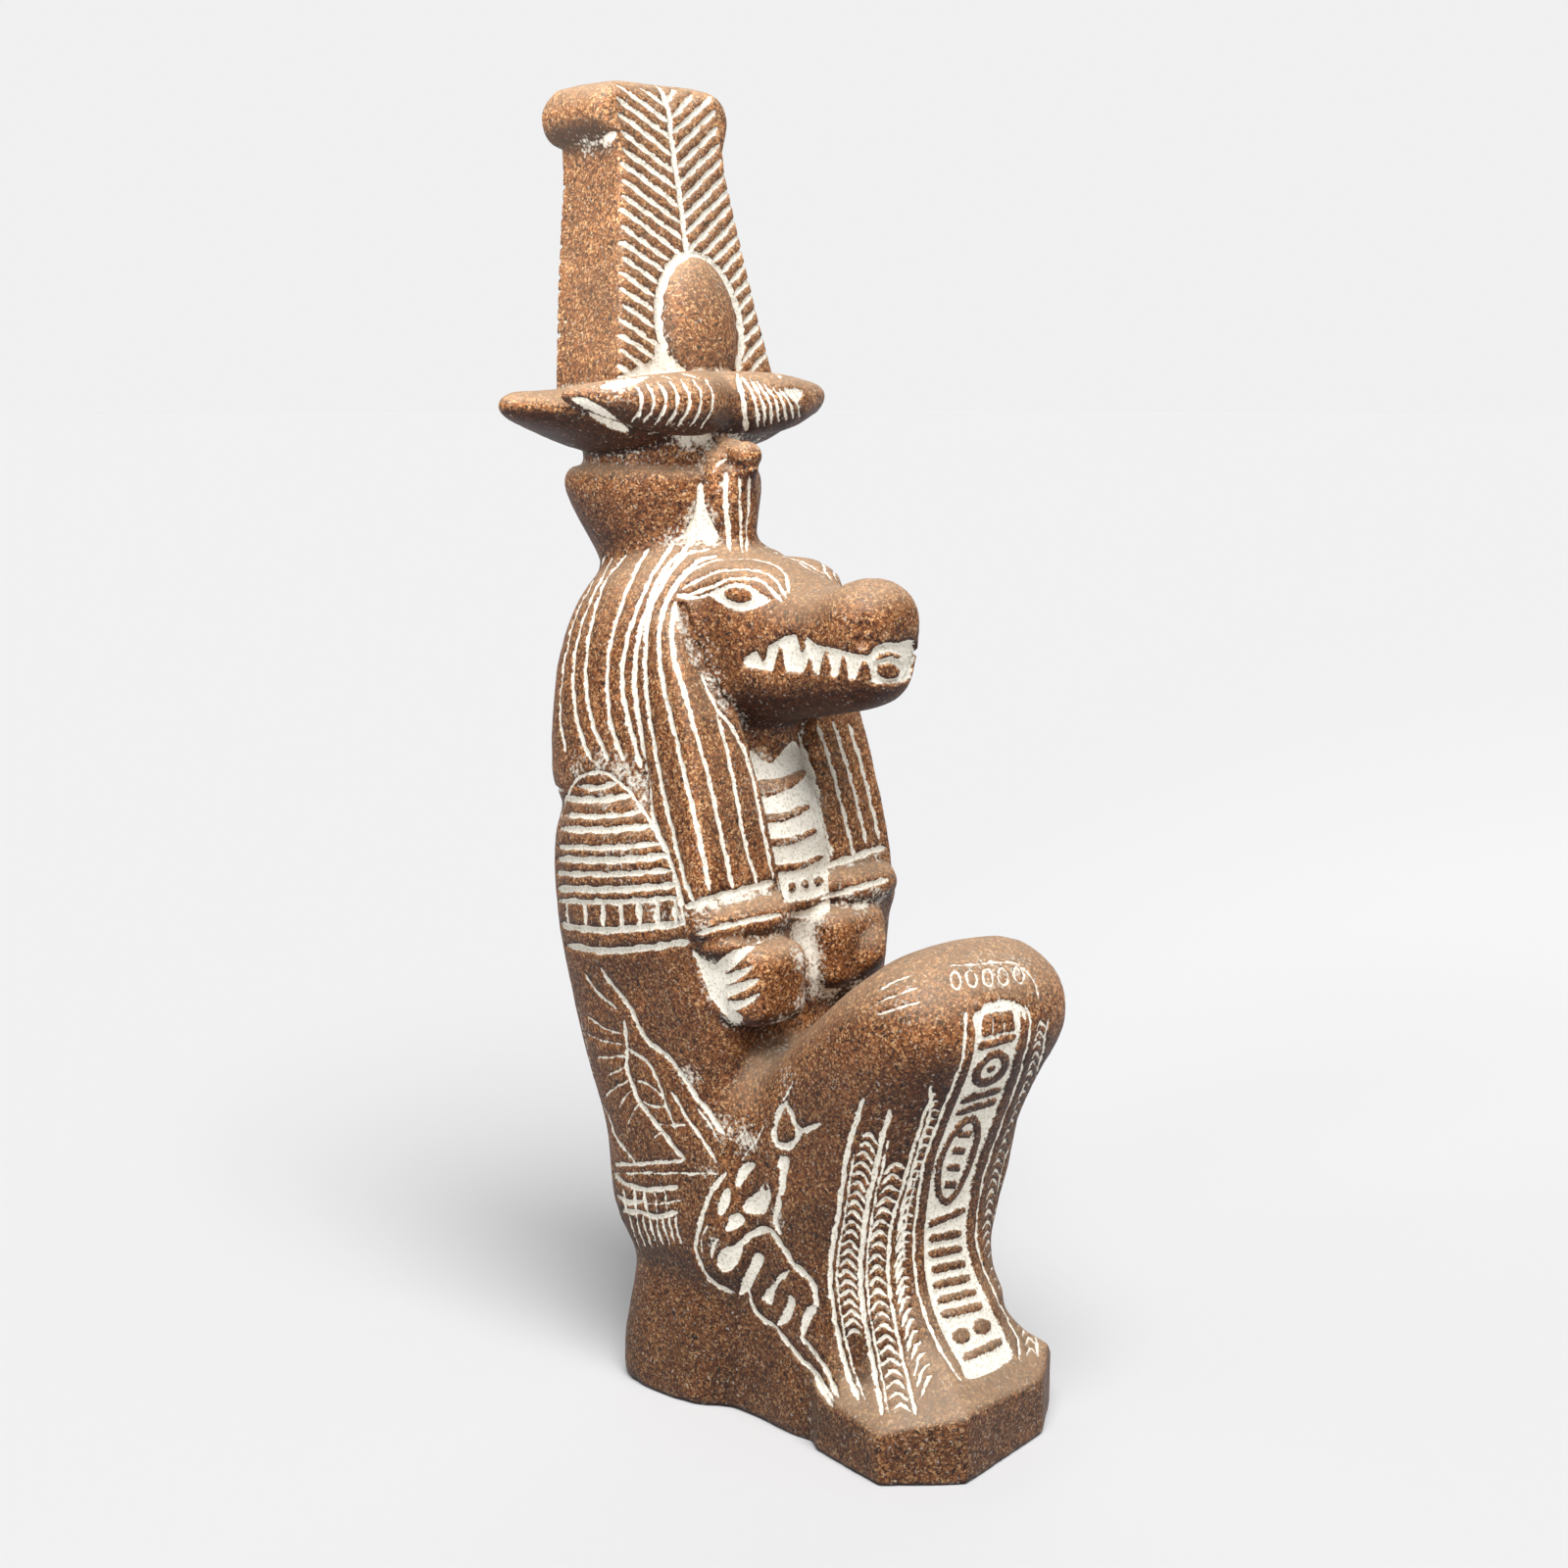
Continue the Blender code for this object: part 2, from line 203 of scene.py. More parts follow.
def tower(name: str, rows: Sequence[tuple[float, ...]]) -> Chisel:
    """Grow a block upwards through level sections, each a centre and full sizes."""
    first = rows[0]
    block = Chisel(name).cube((first[0], first[1], first[2] - 1.0), (first[3], first[4], 2.0))
    return block.end((0, 0, 1)).grow(first[:3], chain(rows))


def branch(name: str, rows: Sequence[tuple[float, ...]], side: int) -> Chisel:
    """Grow a round block sideways through upright sections, to -X or +X."""
    first = rows[0]
    start = Vector(first[:3])
    block = Chisel(name).drum(start - Vector((side, 0.0, 0.0)), (first[5] / 2, first[4] / 2, 2.0),
                              (0, 90, 0))
    return block.end((side, 0, 0)).grow(start, chain(rows))


def read_skin(skin: bpy.types.Object) -> tuple[np.ndarray, np.ndarray]:
    """Read every point of a skin and the way it faces.

    Returns:
        The points in metres and their normals, one row for each.
    """
    count = len(skin.data.vertices)
    places = np.empty(count * 3)
    normals = np.empty(count * 3)
    skin.data.vertices.foreach_get("co", places)
    skin.data.vertices.foreach_get("normal", normals)
    return places.reshape(-1, 3), normals.reshape(-1, 3)


def write_skin(skin: bpy.types.Object, places: np.ndarray) -> None:
    """Move every point of a skin to its new place."""
    skin.data.vertices.foreach_set("co", places.ravel())
    skin.data.update()


@dataclass
class Crown:
    """Two tall feathers side by side with curled tips, a sun disc, long horns and ram horns."""

    foot: float = 187.0
    lean: float = 0.169
    front_at_foot: float = 38.4
    ridge: float = 0.4
    parts: list[bpy.types.Object] = field(default_factory=list)

    def front(self, height: float) -> float:
        """The slab's front edge at a height."""
        return self.front_at_foot + self.lean * (height - self.foot)

    def feather_slab(self) -> None:
        """The leaning slab, its front face folded a little along the middle."""
        rows = []
        for height, width, depth in (
            (183.0, 41.4, 18.8),
            (189.0, 40.0, 18.8),
            (201.0, 35.6, 18.9),
            (214.0, 31.0, 18.4),
            (226.0, 27.2, 17.4),
            (233.0, 26.6, 16.6),
            (240.0, 27.6, 15.6),
        ):
            rows.append((0.0, self.front(height) + depth / 2, height, width, depth, 1.0))
        slab = tower("feather_slab", rows)
        slab.select(lambda face: True)
        bpy.ops.mesh.bisect(plane_co=(0.0, 0.0, 0.0), plane_no=(1.0, 0.0, 0.0))
        slab.done()
        for vert in slab.block.data.vertices:
            if abs(vert.co.x) < 0.1 * MM and vert.co.y < (self.front(vert.co.z / MM) + 4.0) * MM:
                vert.co.y -= self.ridge * MM
        finish_with(slab.block, "BEVEL", width=0.9 * MM, segments=3, limit_method="ANGLE", angle_limit=0.6)
        self.parts.append(slab.block)

    def curled_tips(self) -> None:
        """The rolled tips: two rolls that run from front to back, with a low dome between them."""
        rows = []
        for height, width, depth, lead in (
            (231.0, 26.4, 16.0, 0.0),
            (236.0, 30.6, 17.6, 0.0),
            (240.8, 31.6, 17.6, 0.1),
            (243.2, 28.0, 14.6, 0.9),
            (244.2, 19.0, 9.6, 3.0),
        ):
            rows.append((0.0, self.front(height) + lead + depth / 2, height, width, depth, 1.0))
        dome = tower("tip_dome", rows)
        finish_with(dome.block, "BEVEL", width=2.2 * MM, segments=4, limit_method="ANGLE", angle_limit=0.6)
        self.parts.append(dome.block)
        for side in (-1, 1):
            roll = Chisel("tip_roll").drum(
                (side * 11.8, self.front(238.0) + 9.7, 237.8), (4.8, 5.2, 19.0), (87, 0, side * 2)
            )
            finish_with(roll.block, "BEVEL", width=2.6 * MM, segments=4, limit_method="ANGLE",
                        angle_limit=0.8)
            self.parts.append(roll.block)

    def sun_disc(self) -> None:
        """The low domed disc between the feathers, standing on the horns."""
        centre = (0.9, self.front(DISC_MIDDLE) - 0.6, DISC_MIDDLE)
        disc = Chisel("sun_disc").egg(centre, (8.6, 4.4, 13.0), (-9, 0, 0))
        for vert in disc.block.data.vertices:
            above = (vert.co.z / MM - DISC_MIDDLE) / 11.8
            vert.co.x *= 1.0 + 0.04 * above
        self.parts.append(disc.block)

    def pair(self, name: str, outline: Sequence[tuple[float, ...]], voxel: float, rounds: int) -> None:
        """Grow one softened horn to each side.

        Args:
            name: What the horns are called.
            outline: The sections of the left horn, from the middle outwards.
            voxel: The voxel size for the softening.
            rounds: How often the horns are smoothed.
        """
        for side in (-1, 1):
            horn = branch(name, [(side * row[0], *row[1:]) for row in outline], side)
            soften(horn.block, voxel, rounds)
            self.parts.append(horn.block)

    def long_horns(self) -> None:
        """The wide boat-shaped brim whose ends taper to rounded tips."""
        outline = [
            (1.0, 48.5, 181.4, 1.0, 31.0, 15.0),
            (10.0, 48.9, 181.6, 1.0, 30.0, 14.6),
            (19.0, 49.4, 182.2, 1.0, 27.6, 11.6),
            (26.0, 49.8, 183.2, 1.0, 22.6, 8.6),
            (32.0, 49.4, 184.0, 1.0, 15.6, 6.8),
            (36.6, 48.4, 184.5, 1.0, 9.8, 5.4),
            (39.2, 47.8, 184.6, 1.0, 5.4, 3.8),
            (40.4, 47.6, 184.6, 1.0, 2.0, 1.6),
        ]
        self.pair("long_horn", outline, 0.7, 5)

    def ram_horns(self) -> None:
        """The fat curled horns in front of the brim, thick at the middle and tapering sideways."""
        outline = [
            (0.5, 35.6, 184.8, 1.0, 11.6, 11.6),
            (4.0, 34.2, 185.0, 1.0, 12.8, 12.0),
            (8.0, 33.0, 185.0, 1.0, 13.6, 12.0),
            (13.0, 32.8, 185.0, 1.0, 13.2, 11.4),
            (18.0, 33.6, 185.2, 1.0, 12.0, 10.0),
            (23.0, 35.2, 185.6, 1.0, 10.0, 8.0),
            (27.5, 36.8, 186.0, 1.0, 7.6, 6.0),
            (31.0, 38.4, 186.3, 1.0, 5.0, 4.2),
            (33.4, 39.8, 186.4, 1.0, 2.0, 1.6),
        ]
        self.pair("ram_horn", outline, 0.6, 6)

    def drum_neck(self) -> None:
        """The short neck between the drum's rim and the brim."""
        neck = Chisel("drum_neck").drum((0.0, 48.2, 175.6), (16.4, 15.6, 9.0), (0, 0, 0))
        self.parts.append(neck.block)

    def build(self) -> list[bpy.types.Object]:
        """Model every part of the crown.

        Returns:
            The blocks, ready to be melted together.
        """
        self.drum_neck()
        self.feather_slab()
        self.curled_tips()
        self.sun_disc()
        self.long_horns()
        self.ram_horns()
        return self.parts


@dataclass
class Uraeus:
    """The rearing cobra on the drum: a spread hood and a head that leans forward."""

    parts: list[bpy.types.Object] = field(default_factory=list)

    def hood(self) -> None:
        """A leaf-shaped hood, narrow at its foot, with rounded rims."""
        rows = [
            (0.0, 31.2, 153.0, 5.4, 5.4, 1.0),
            (0.0, 31.0, 157.0, 5.8, 5.6, 1.0),
            (0.0, 31.0, 161.0, 7.0, 5.4, 1.0),
            (0.0, 31.0, 165.0, 9.6, 5.2, 1.0),
            (0.0, 31.0, 169.0, 11.6, 5.0, 1.0),
            (0.0, 31.2, 172.4, 11.4, 4.8, 1.0),
            (0.0, 31.6, 175.4, 8.8, 4.6, 1.0),
            (0.0, 32.2, 177.2, 4.6, 3.6, 1.0),
        ]
        hood = tower("cobra_hood", rows)
        finish_with(hood.block, "BEVEL", width=1.1 * MM, segments=4, limit_method="ANGLE", angle_limit=0.8)
        self.parts.append(hood.block)

    def head(self) -> None:
        """The small blunt head."""
        neck = Chisel("cobra_neck").egg((0.0, 30.0, 176.4), (2.5, 4.4, 2.0), (10, 0, 0))
        head = Chisel("cobra_head").egg((0.0, 26.6, 175.4), (3.2, 2.9, 2.7), (20, 0, 0))
        self.parts += [neck.block, head.block]

    def build(self) -> list[bpy.types.Object]:
        """Model the cobra."""
        self.hood()
        self.head()
        return self.parts


@dataclass
class Wig:
    """The two striped strands that hang on the chest and the thick bands that close them.

    The left strand is narrower by left_trim, and its band lies higher by left_lift and is shorter.
    """

    left_trim: float = 1.8
    left_lift: float = 2.2
    left_share: float = 0.9
    parts: list[bpy.types.Object] = field(default_factory=list)

    def strand(self, side: int) -> None:
        """One strand, from beside the cheek down to its band.

        Args:
            side: -1 for the figure's right and 1 for its left.
        """
        outline = [
            (16.6, 17.4, 93.0, 20.4, 14.0, 1.0),
            (16.5, 17.8, 100.0, 19.8, 14.0, 1.0),
            (16.4, 19.6, 110.0, 18.4, 14.0, 1.0),
            (16.5, 21.8, 120.0, 16.6, 13.6, 1.0),
            (16.7, 24.2, 129.0, 14.4, 13.4, 1.0),
            (17.0, 27.8, 138.0, 11.6, 13.0, 1.0),
            (17.2, 32.0, 147.0, 7.6, 12.0, 1.0),
        ]
        trim = self.left_trim if side > 0 else 0.0
        rows = [(side * (x - trim / 2), y, z, wide - trim, deep, 1.0) for x, y, z, wide, deep, _ in outline]
        strand = tower("wig_strand", rows)
        finish_with(strand.block, "BEVEL", width=2.0 * MM, segments=4, limit_method="ANGLE",
                    angle_limit=0.8)
        soften(strand.block, 0.7, 9)
        self.parts.append(strand.block)

    def band(self, side: int) -> None:
        """The roll that closes a strand, running round its outer edge."""
        outline = [
            (6.6, 11.4, 93.0, 1.0, 6.4, 6.2),
            (8.4, 10.2, 92.8, 1.0, 8.0, 7.4),
            (14.0, 9.8, 92.6, 1.0, 8.4, 7.8),
            (20.0, 10.2, 92.6, 1.0, 8.4, 7.6),
            (24.6, 11.6, 92.6, 1.0, 7.4, 6.8),
            (27.0, 13.6, 92.6, 1.0, 4.6, 4.0),
        ]
        lift, share = (self.left_lift, self.left_share) if side > 0 else (0.0, 1.0)
        rows = [(side * x * share, y, z + lift, wide, deep, tall) for x, y, z, wide, deep, tall in outline]
        roll = branch("strand_band", rows, side)
        soften(roll.block, 0.6, 5)
        self.parts.append(roll.block)

    def build(self) -> list[bpy.types.Object]:
        """Model both strands with their bands."""
        for side in (-1, 1):
            self.strand(side)
            self.band(side)
        return self.parts


@dataclass(frozen=True)
class Swelling:
    """A soft rise in the skin, or a hollow where its lift is negative."""

    centre: tuple[float, float, float]
    radii: tuple[float, float, float]
    lift: float


def swell(skin: bpy.types.Object, swellings: Sequence[Swelling]) -> None:
    """Raise and hollow a skin along the way it faces."""
    places, normals = read_skin(skin)
    moved = places.copy()
    for swelling in swellings:
        offset = (places / MM - np.array(swelling.centre)) / np.array(swelling.radii)
        share = np.clip(1.0 - (offset**2).sum(axis=1), 0.0, 1.0)
        moved += normals * (share**2 * swelling.lift * MM)[:, None]
    write_skin(skin, moved)


@dataclass(frozen=True)
class Face:
    """The crocodile's brows, eyes, nose and jaw, raised out of the plain snout."""

    middle: tuple[Swelling, ...] = (
        Swelling((0.0, -7.0, 149.0), (15.0, 9.5, 8.5), 1.3),
        Swelling((0.0, -8.0, 134.0), (13.0, 12.0, 6.0), 0.8),
        Swelling((0.0, 4.0, 155.0), (10.0, 7.0, 7.0), -0.5),
    )
    sides: tuple[Swelling, ...] = (
        Swelling((10.6, 18.0, 153.4), (7.5, 11.5, 7.0), 1.8),
        Swelling((12.0, 15.8, 151.4), (5.0, 5.4, 3.2), 0.7),
        Swelling((11.5, 9.0, 140.0), (6.0, 12.0, 6.0), -0.6),
        Swelling((14.0, 22.0, 138.0), (6.0, 8.0, 12.0), -1.2),
    )

    def shape(self, skin: bpy.types.Object) -> None:
        """Raise and hollow the skin where the face is."""
        swellings = list(self.middle)
        for swelling in self.sides:
            x, y, z = swelling.centre
            swellings.append(swelling)
            swellings.append(Swelling((-x, y, z), swelling.radii, swelling.lift))
        swell(skin, swellings)


@dataclass
class Fists:
    """The two closed hands that lie on the chest under the strands."""

    parts: list[bpy.types.Object] = field(default_factory=list)

    def fist(self, middle: float, front: float, height: float, width: float, tall: float) -> None:
        """A blunt square fist.

        Args:
            middle: The fist's middle along X.
            front: Where its front face lies along Y.
            height: The height of its middle.
            width: Its width.
            tall: Its height from bottom to top.
        """
        palm = Chisel("fist").cube((middle, front + 8.5, height), (width, 17.0, tall))
        palm.select(lambda face: face.normal.y < -0.5)
        bpy.ops.transform.resize(value=(0.9, 1.0, 0.92), center_override=Vector((middle, front,
            height)) * MM)
        palm.done()
        finish_with(palm.block, "BEVEL", width=3.6 * MM, segments=6)
        self.parts.append(palm.block)

    def thumb(self) -> None:
        """The right hand's thumb, laid along the top of the fist."""
        thumb = Chisel("thumb").egg((-20.4, 11.2, 87.4), (5.4, 6.0, 3.0), (-16, 14, -18))
        self.parts.append(thumb.block)

    def build(self) -> list[bpy.types.Object]:
        """Model both hands."""
        self.fist(-15.4, 0.8, 81.6, 16.4, 16.0)
        self.fist(9.0, 4.6, 84.2, 17.6, 16.4)
        self.thumb()
        return self.parts


@dataclass(frozen=True)
class Facet:
    """A flat that was chiselled on the stone: a place on it and the way it faces."""

    place: tuple[float, float, float]
    facing: tuple[float, float, float]


@dataclass(frozen=True)
class Toes:
    """The block of the feet: upright facets under a sloping top.

    The body is ground down to the facets in front of `back`, fully so below `top` less `fade`.
    """

    back: float = -12.0
    top: float = 24.0
    fade: float = 8.0
    facets: tuple[Facet, ...] = (
        Facet((-21.6, -13.0, 0.0), (-0.85, 0.53, 0.0)),
        Facet((-24.6, -27.6, 0.0), (-0.98, 0.18, 0.0)),
        Facet((-19.7, -37.1, 0.0), (-0.673, -0.739, 0.0)),
        Facet((-1.0, -39.9, 0.0), (0.172, -0.985, 0.0)),
        Facet((17.6, -34.0, 0.0), (0.558, -0.83, 0.0)),
        Facet((24.2, -24.0, 0.0), (1.0, 0.0, 0.0)),
        Facet((24.2, -18.0, 0.0), (0.9, 0.43, 0.0)),
        Facet((-24.6, -27.6, 9.6), (-0.62, 0.05, 0.78)),
        Facet((-19.7, -37.1, 10.8), (-0.55, -0.42, 0.78)),
        Facet((-1.0, -39.9, 11.6), (0.16, -0.64, 0.75)),
        Facet((24.2, -24.0, 11.0), (0.62, -0.05, 0.78)),
    )

    def build(self) -> list[bpy.types.Object]:
        """Cut the facets off a plain block and wear its edges."""
        block = Chisel("toes").cube((0.0, -26.0, 9.5), (56.0, 36.0, 19.0))
        for facet in self.facets:
            block.select(lambda face: True)
            bpy.ops.mesh.bisect(
                plane_co=Vector(facet.place) * MM,
                plane_no=Vector(facet.facing).normalized(),
                clear_outer=True,
                use_fill=True,
            )
            block.done()
        finish_with(block.block, "BEVEL", width=2.6 * MM, segments=4, limit_method="ANGLE",
                    angle_limit=0.25)
        return [block.block]

    def flatten(self, skin: bpy.types.Object) -> None:
        """Grind the worn body down to the facets where it swells beyond them."""
        places, _ = read_skin(skin)
        low = np.clip((self.top - places[:, 2] / MM) / self.fade, 0.0, 1.0)
        ahead = np.clip((self.back - places[:, 1] / MM) / self.fade, 0.0, 1.0)
        for facet in self.facets:
            facing = np.array(Vector(facet.facing).normalized())
            beyond = np.maximum((places - np.array(facet.place) * MM) @ facing, 0.0)
            places -= (beyond * low * ahead)[:, None] * facing
        write_skin(skin, places)


@dataclass
class Body:
    """The worn body taken over from the solid, without its crown."""

    crown_cut: float = 173.4
    coarse_voxel: float = 1.0
    softening: int = 7
    corrections: tuple[Swelling, ...] = (
        Swelling((20.5, 3.5, 80.0), (10.0, 12.0, 13.0), -8.0),
        Swelling((10.0, 0.0, 76.0), (9.0, 7.0, 7.0), -3.0),
        Swelling((-5.0, 2.0, 80.0), (6.0, 7.0, 9.0), -2.5),
        Swelling((-2.0, 8.0, 87.0), (6.5, 7.0, 8.0), -3.0),
        Swelling((20.0, -24.0, 42.0), (9.0, 9.0, 20.0), 2.0),
        Swelling((-19.5, -6.0, 4.0), (8.0, 11.0, 14.0), 1.3),
    )

    def build(self) -> list[bpy.types.Object]:
        """Copy, trim and soften the body.

        Returns:
            One closed block.
        """
        mesh = bpy.data.objects[NODE].data.copy()
        body = bpy.data.objects.new("body", mesh)
        bpy.context.collection.objects.link(body)
        select_only(body)
        bpy.ops.object.mode_set(mode="EDIT")
        bpy.ops.mesh.select_all(action="SELECT")
        bpy.ops.mesh.remove_doubles(threshold=0.001 * MM)
        bpy.ops.mesh.bisect(
            plane_co=(0.0, 0.0, self.crown_cut * MM),
            plane_no=(0.0, 0.0, 1.0),
            clear_outer=True,
            use_fill=True,
        )
        bpy.ops.object.mode_set(mode="OBJECT")
        finish_with(body, "REMESH", mode="VOXEL", voxel_size=self.coarse_voxel * MM)
        swell(body, self.corrections)
        finish_with(body, "SMOOTH", factor=0.5, iterations=self.softening)
        Toes().flatten(body)
        return [body]


class Cut(NamedTuple):
    """How a chisel cut is made: half its width, its depth and how much chalk it holds."""

    half: float
    depth: float
    chalk: float = 1.0


class Stroke(Enum):
    """The kinds of cut on the figure, in millimetres."""

    HAIR = Cut(0.26, 0.20)
    FINE = Cut(0.37, 0.30)
    LINE = Cut(0.53, 0.40)
    BOLD = Cut(0.68, 0.48)
    RING = Cut(0.95, 0.46)
    GROUND = Cut(0.70, 0.46)
    MOUTH = Cut(0.70, 0.80)
    CREASE = Cut(1.00, 0.80, 0.0)


class Sheet(Protocol):
    """A ruled sheet whose marks are carried along rays onto the stone."""

    def ray(self, across: float, up: float) -> tuple[Vector, Vector]:
        """Start and direction of the ray through a mark."""


@dataclass(frozen=True)
class ViewSheet:
    """A ruled sheet held square to the photographed view, 468 mm from the eye."""

    eye: tuple[float, float, float] = EYE
    azimuth: float = AZIMUTH
    pitch: float = PITCH
    distance: float = 468.0

    def ray(self, across: float, up: float) -> tuple[Vector, Vector]:
        """Start at the eye and pass through the mark."""
        turn = Euler((math.radians(90.0 - self.pitch), 0.0, math.radians(self.azimuth))).to_matrix()
        return Vector(self.eye) * MM, (turn @ Vector((across, up, -self.distance))).normalized()


@dataclass(frozen=True)
class WallSheet:
    """A ruled sheet stood upright before one side: across runs to its right, up is the height."""

    facing: float
    distance: float = 300.0

    def ray(self, across: float, up: float) -> tuple[Vector, Vector]:
        """Start on the sheet and go straight at the figure."""
        turn = Euler((0.0, 0.0, math.radians(self.facing))).to_matrix()
        return turn @ Vector((across, -self.distance, up)) * MM, turn @ Vector((0.0, 1.0, 0.0))


VIEW = ViewSheet()
FRONT = WallSheet(0.0)
BACK = WallSheet(180.0)

Point = tuple[float, float]


def smooth_line(points: Sequence[Point], step: float, closed: bool = False) -> list[Vector]:
    """Follow the smooth curve through some points.

    Args:
        points: The points that the curve passes through.
        step: The distance between the places that are returned.
        closed: Whether the curve comes back to its start.

    Returns:
        Places along the curve.
    """
    knots = [Vector(point) for point in points]
    if closed:
        knots = [knots[-1], *knots, knots[0], knots[1]]
    else:
        knots = [2 * knots[0] - knots[1], *knots, 2 * knots[-1] - knots[-2]]
    places = []
    for before, start, end, after in zip(knots, knots[1:], knots[2:], knots[3:]):
        count = max(1, round((end - start).length / step))
        for index in range(count):
            t = index / count
            square = 2 * before - 5 * start + 4 * end - after
            cube = 3 * start - before - 3 * end + after
            places.append(0.5 * (2 * start + (end - before) * t + square * t**2 + cube * t**3))
    if not closed:
        places.append(knots[-2])
    return places


def inside(outline: Sequence[Vector], place: Vector) -> bool:
    """Whether a place lies inside a closed outline."""
    crossings = 0
    for start, end in zip(outline, [*outline[1:], outline[0]]):
        if (start.y > place.y) != (end.y > place.y):
            share = (place.y - start.y) / (end.y - start.y)
            crossings += start.x + share * (end.x - start.x) > place.x
    return crossings % 2 == 1


def oval(centre: Point, radii: Point, turn: float = 0.0, count: int = 12) -> list[Point]:
    """Points round an oval turned by an angle in degrees."""
    lean = math.radians(turn)
    points = []
    for index in range(count):
        angle = 2 * math.pi * index / count
        across, up = radii[0] * math.cos(angle), radii[1] * math.sin(angle)
        points.append((
            centre[0] + across * math.cos(lean) - up * math.sin(lean),
            centre[1] + across * math.sin(lean) + up * math.cos(lean),
        ))
    return points


def between(first: Sequence[Point], last: Sequence[Point], share: float) -> list[Point]:
    """The line that lies a share of the way from one line to another."""
    line = []
    for start, end in zip(first, last):
        line.append((start[0] + (end[0] - start[0]) * share, start[1] + (end[1] - start[1]) * share))
    return line


class Engraver:
    """Carries lines from ruled sheets onto the stone and cuts them into it."""

    STEP = 0.2
    POOL_STEP = 0.26
    REACH = 1.6
    GRAZING = -0.06
    NARROWEST = 0.19
    REFINED = 0.95
    SLOPE_START = 0.14
    SLOPE_WIDTH = 0.42

    def __init__(self, skin: bpy.types.Object) -> None:
        """Take the measure of the plain stone."""
        self.skin = skin
        self.stone = BVHTree.FromObject(skin, bpy.context.evaluated_depsgraph_get())
        self.tree = KDTree(0)
        self.marks: list[tuple[Vector, Cut]] = []
        self.dusting: list[tuple[Vector, float, float]] = []
        self.lines = 0

    def touch(self, sheet: Sheet, across: float, up: float) -> Vector | None:
        """Where the ray through a mark meets the stone, or None where it grazes or misses."""
        start, way = sheet.ray(across, up)
        place, normal, _, _ = self.stone.ray_cast(start, way)
        if place is None or normal.dot(way) > self.GRAZING:
            return None
        return place

    def mark(self, place: Vector | None, cut: Cut, mirror: bool) -> None:
        """Note one cut, and the twin of a cut on the right side where mirror is set."""
        if place is None:
            return
        self.marks.append((place, cut))
        if mirror and place.x < 0.0:
            twin = self.stone.find_nearest(Vector((-place.x, place.y, place.z)))[0]
            self.marks.append((twin, cut))

    def line(self, sheet: Sheet, points: Sequence[Point], stroke: Stroke, mirror: bool = False,
             closed: bool = False) -> None:
        """Draw one line by hand: a little unsteady, and thinner at its ends."""
        self.lines += 1
        places = smooth_line(points, self.STEP, closed)
        cut = stroke.value
        for index, place in enumerate(places):
            run = index * self.STEP
            waver = 0.06 * math.sin(1.1 * run + 2.1 * self.lines) + 0.04 * math.sin(2.9 * run + self.lines)
            ahead = places[min(index + 1, len(places) - 1)] - places[max(index - 1, 0)]
            side = Vector((-ahead.y, ahead.x)).normalized() * waver
            from_end = min(run, (len(places) - 1 - index) * self.STEP)
            taper = 1.0 if closed else min(1.0, 0.55 + 0.45 * from_end / 1.2)
            press = 1.0 + 0.16 * math.sin(1.7 * run + 3.7 * self.lines)
            half = cut.half * taper * press
            self.mark(self.touch(sheet, *(place + side)), Cut(half, cut.depth, cut.chalk), mirror)

    def rows(self, sheet: Sheet, first: Sequence[Point], last: Sequence[Point], count: int, stroke: Stroke,
             mirror: bool = False) -> None:
        """Draw lines at even steps that change from the first into the last."""
        for index in range(count):
            self.line(sheet, between(first, last, index / max(1, count - 1)), stroke, mirror)

    def pool(self, sheet: Sheet, outline: Sequence[Point], islands: Sequence[Sequence[Point]] = (),
             stroke: Stroke = Stroke.GROUND, mirror: bool = False) -> None:
        """Sink the ground inside an outline and leave its islands standing."""
        rim = smooth_line(outline, 0.4, closed=True)
        coasts = [smooth_line(island, 0.4, closed=True) for island in islands]
        edges = [*rim, *(place for coast in coasts for place in coast)]
        low = Vector((min(place.x for place in rim), min(place.y for place in rim)))
        high = Vector((max(place.x for place in rim), max(place.y for place in rim)))
        for row in range(int((high.y - low.y) / self.POOL_STEP) + 1):
            for column in range(int((high.x - low.x) / self.POOL_STEP) + 1):
                place = low + Vector((column, row)) * self.POOL_STEP
                if inside(rim, place) and not any(inside(coast, place) for coast in coasts):
                    shore = min((place - edge).length for edge in edges)
                    half = min(max(shore, self.NARROWEST), stroke.value.half)
                    self.mark(self.touch(sheet, place.x, place.y), stroke.value._replace(half=half), mirror)

    def dust(self, sheet: Sheet, spots: Sequence[tuple[float, float, float, float]],
             mirror: bool = False) -> None:
        """Rub chalk into round spots: across, up, radius in millimetres and strength."""
        for across, up, radius, strength in spots:
            place = self.touch(sheet, across, up)
            if place is None:
                continue
            self.dusting.append((place, radius, strength))
            if mirror:
                self.dusting.append((Vector((-place.x, place.y, place.z)), radius, strength))

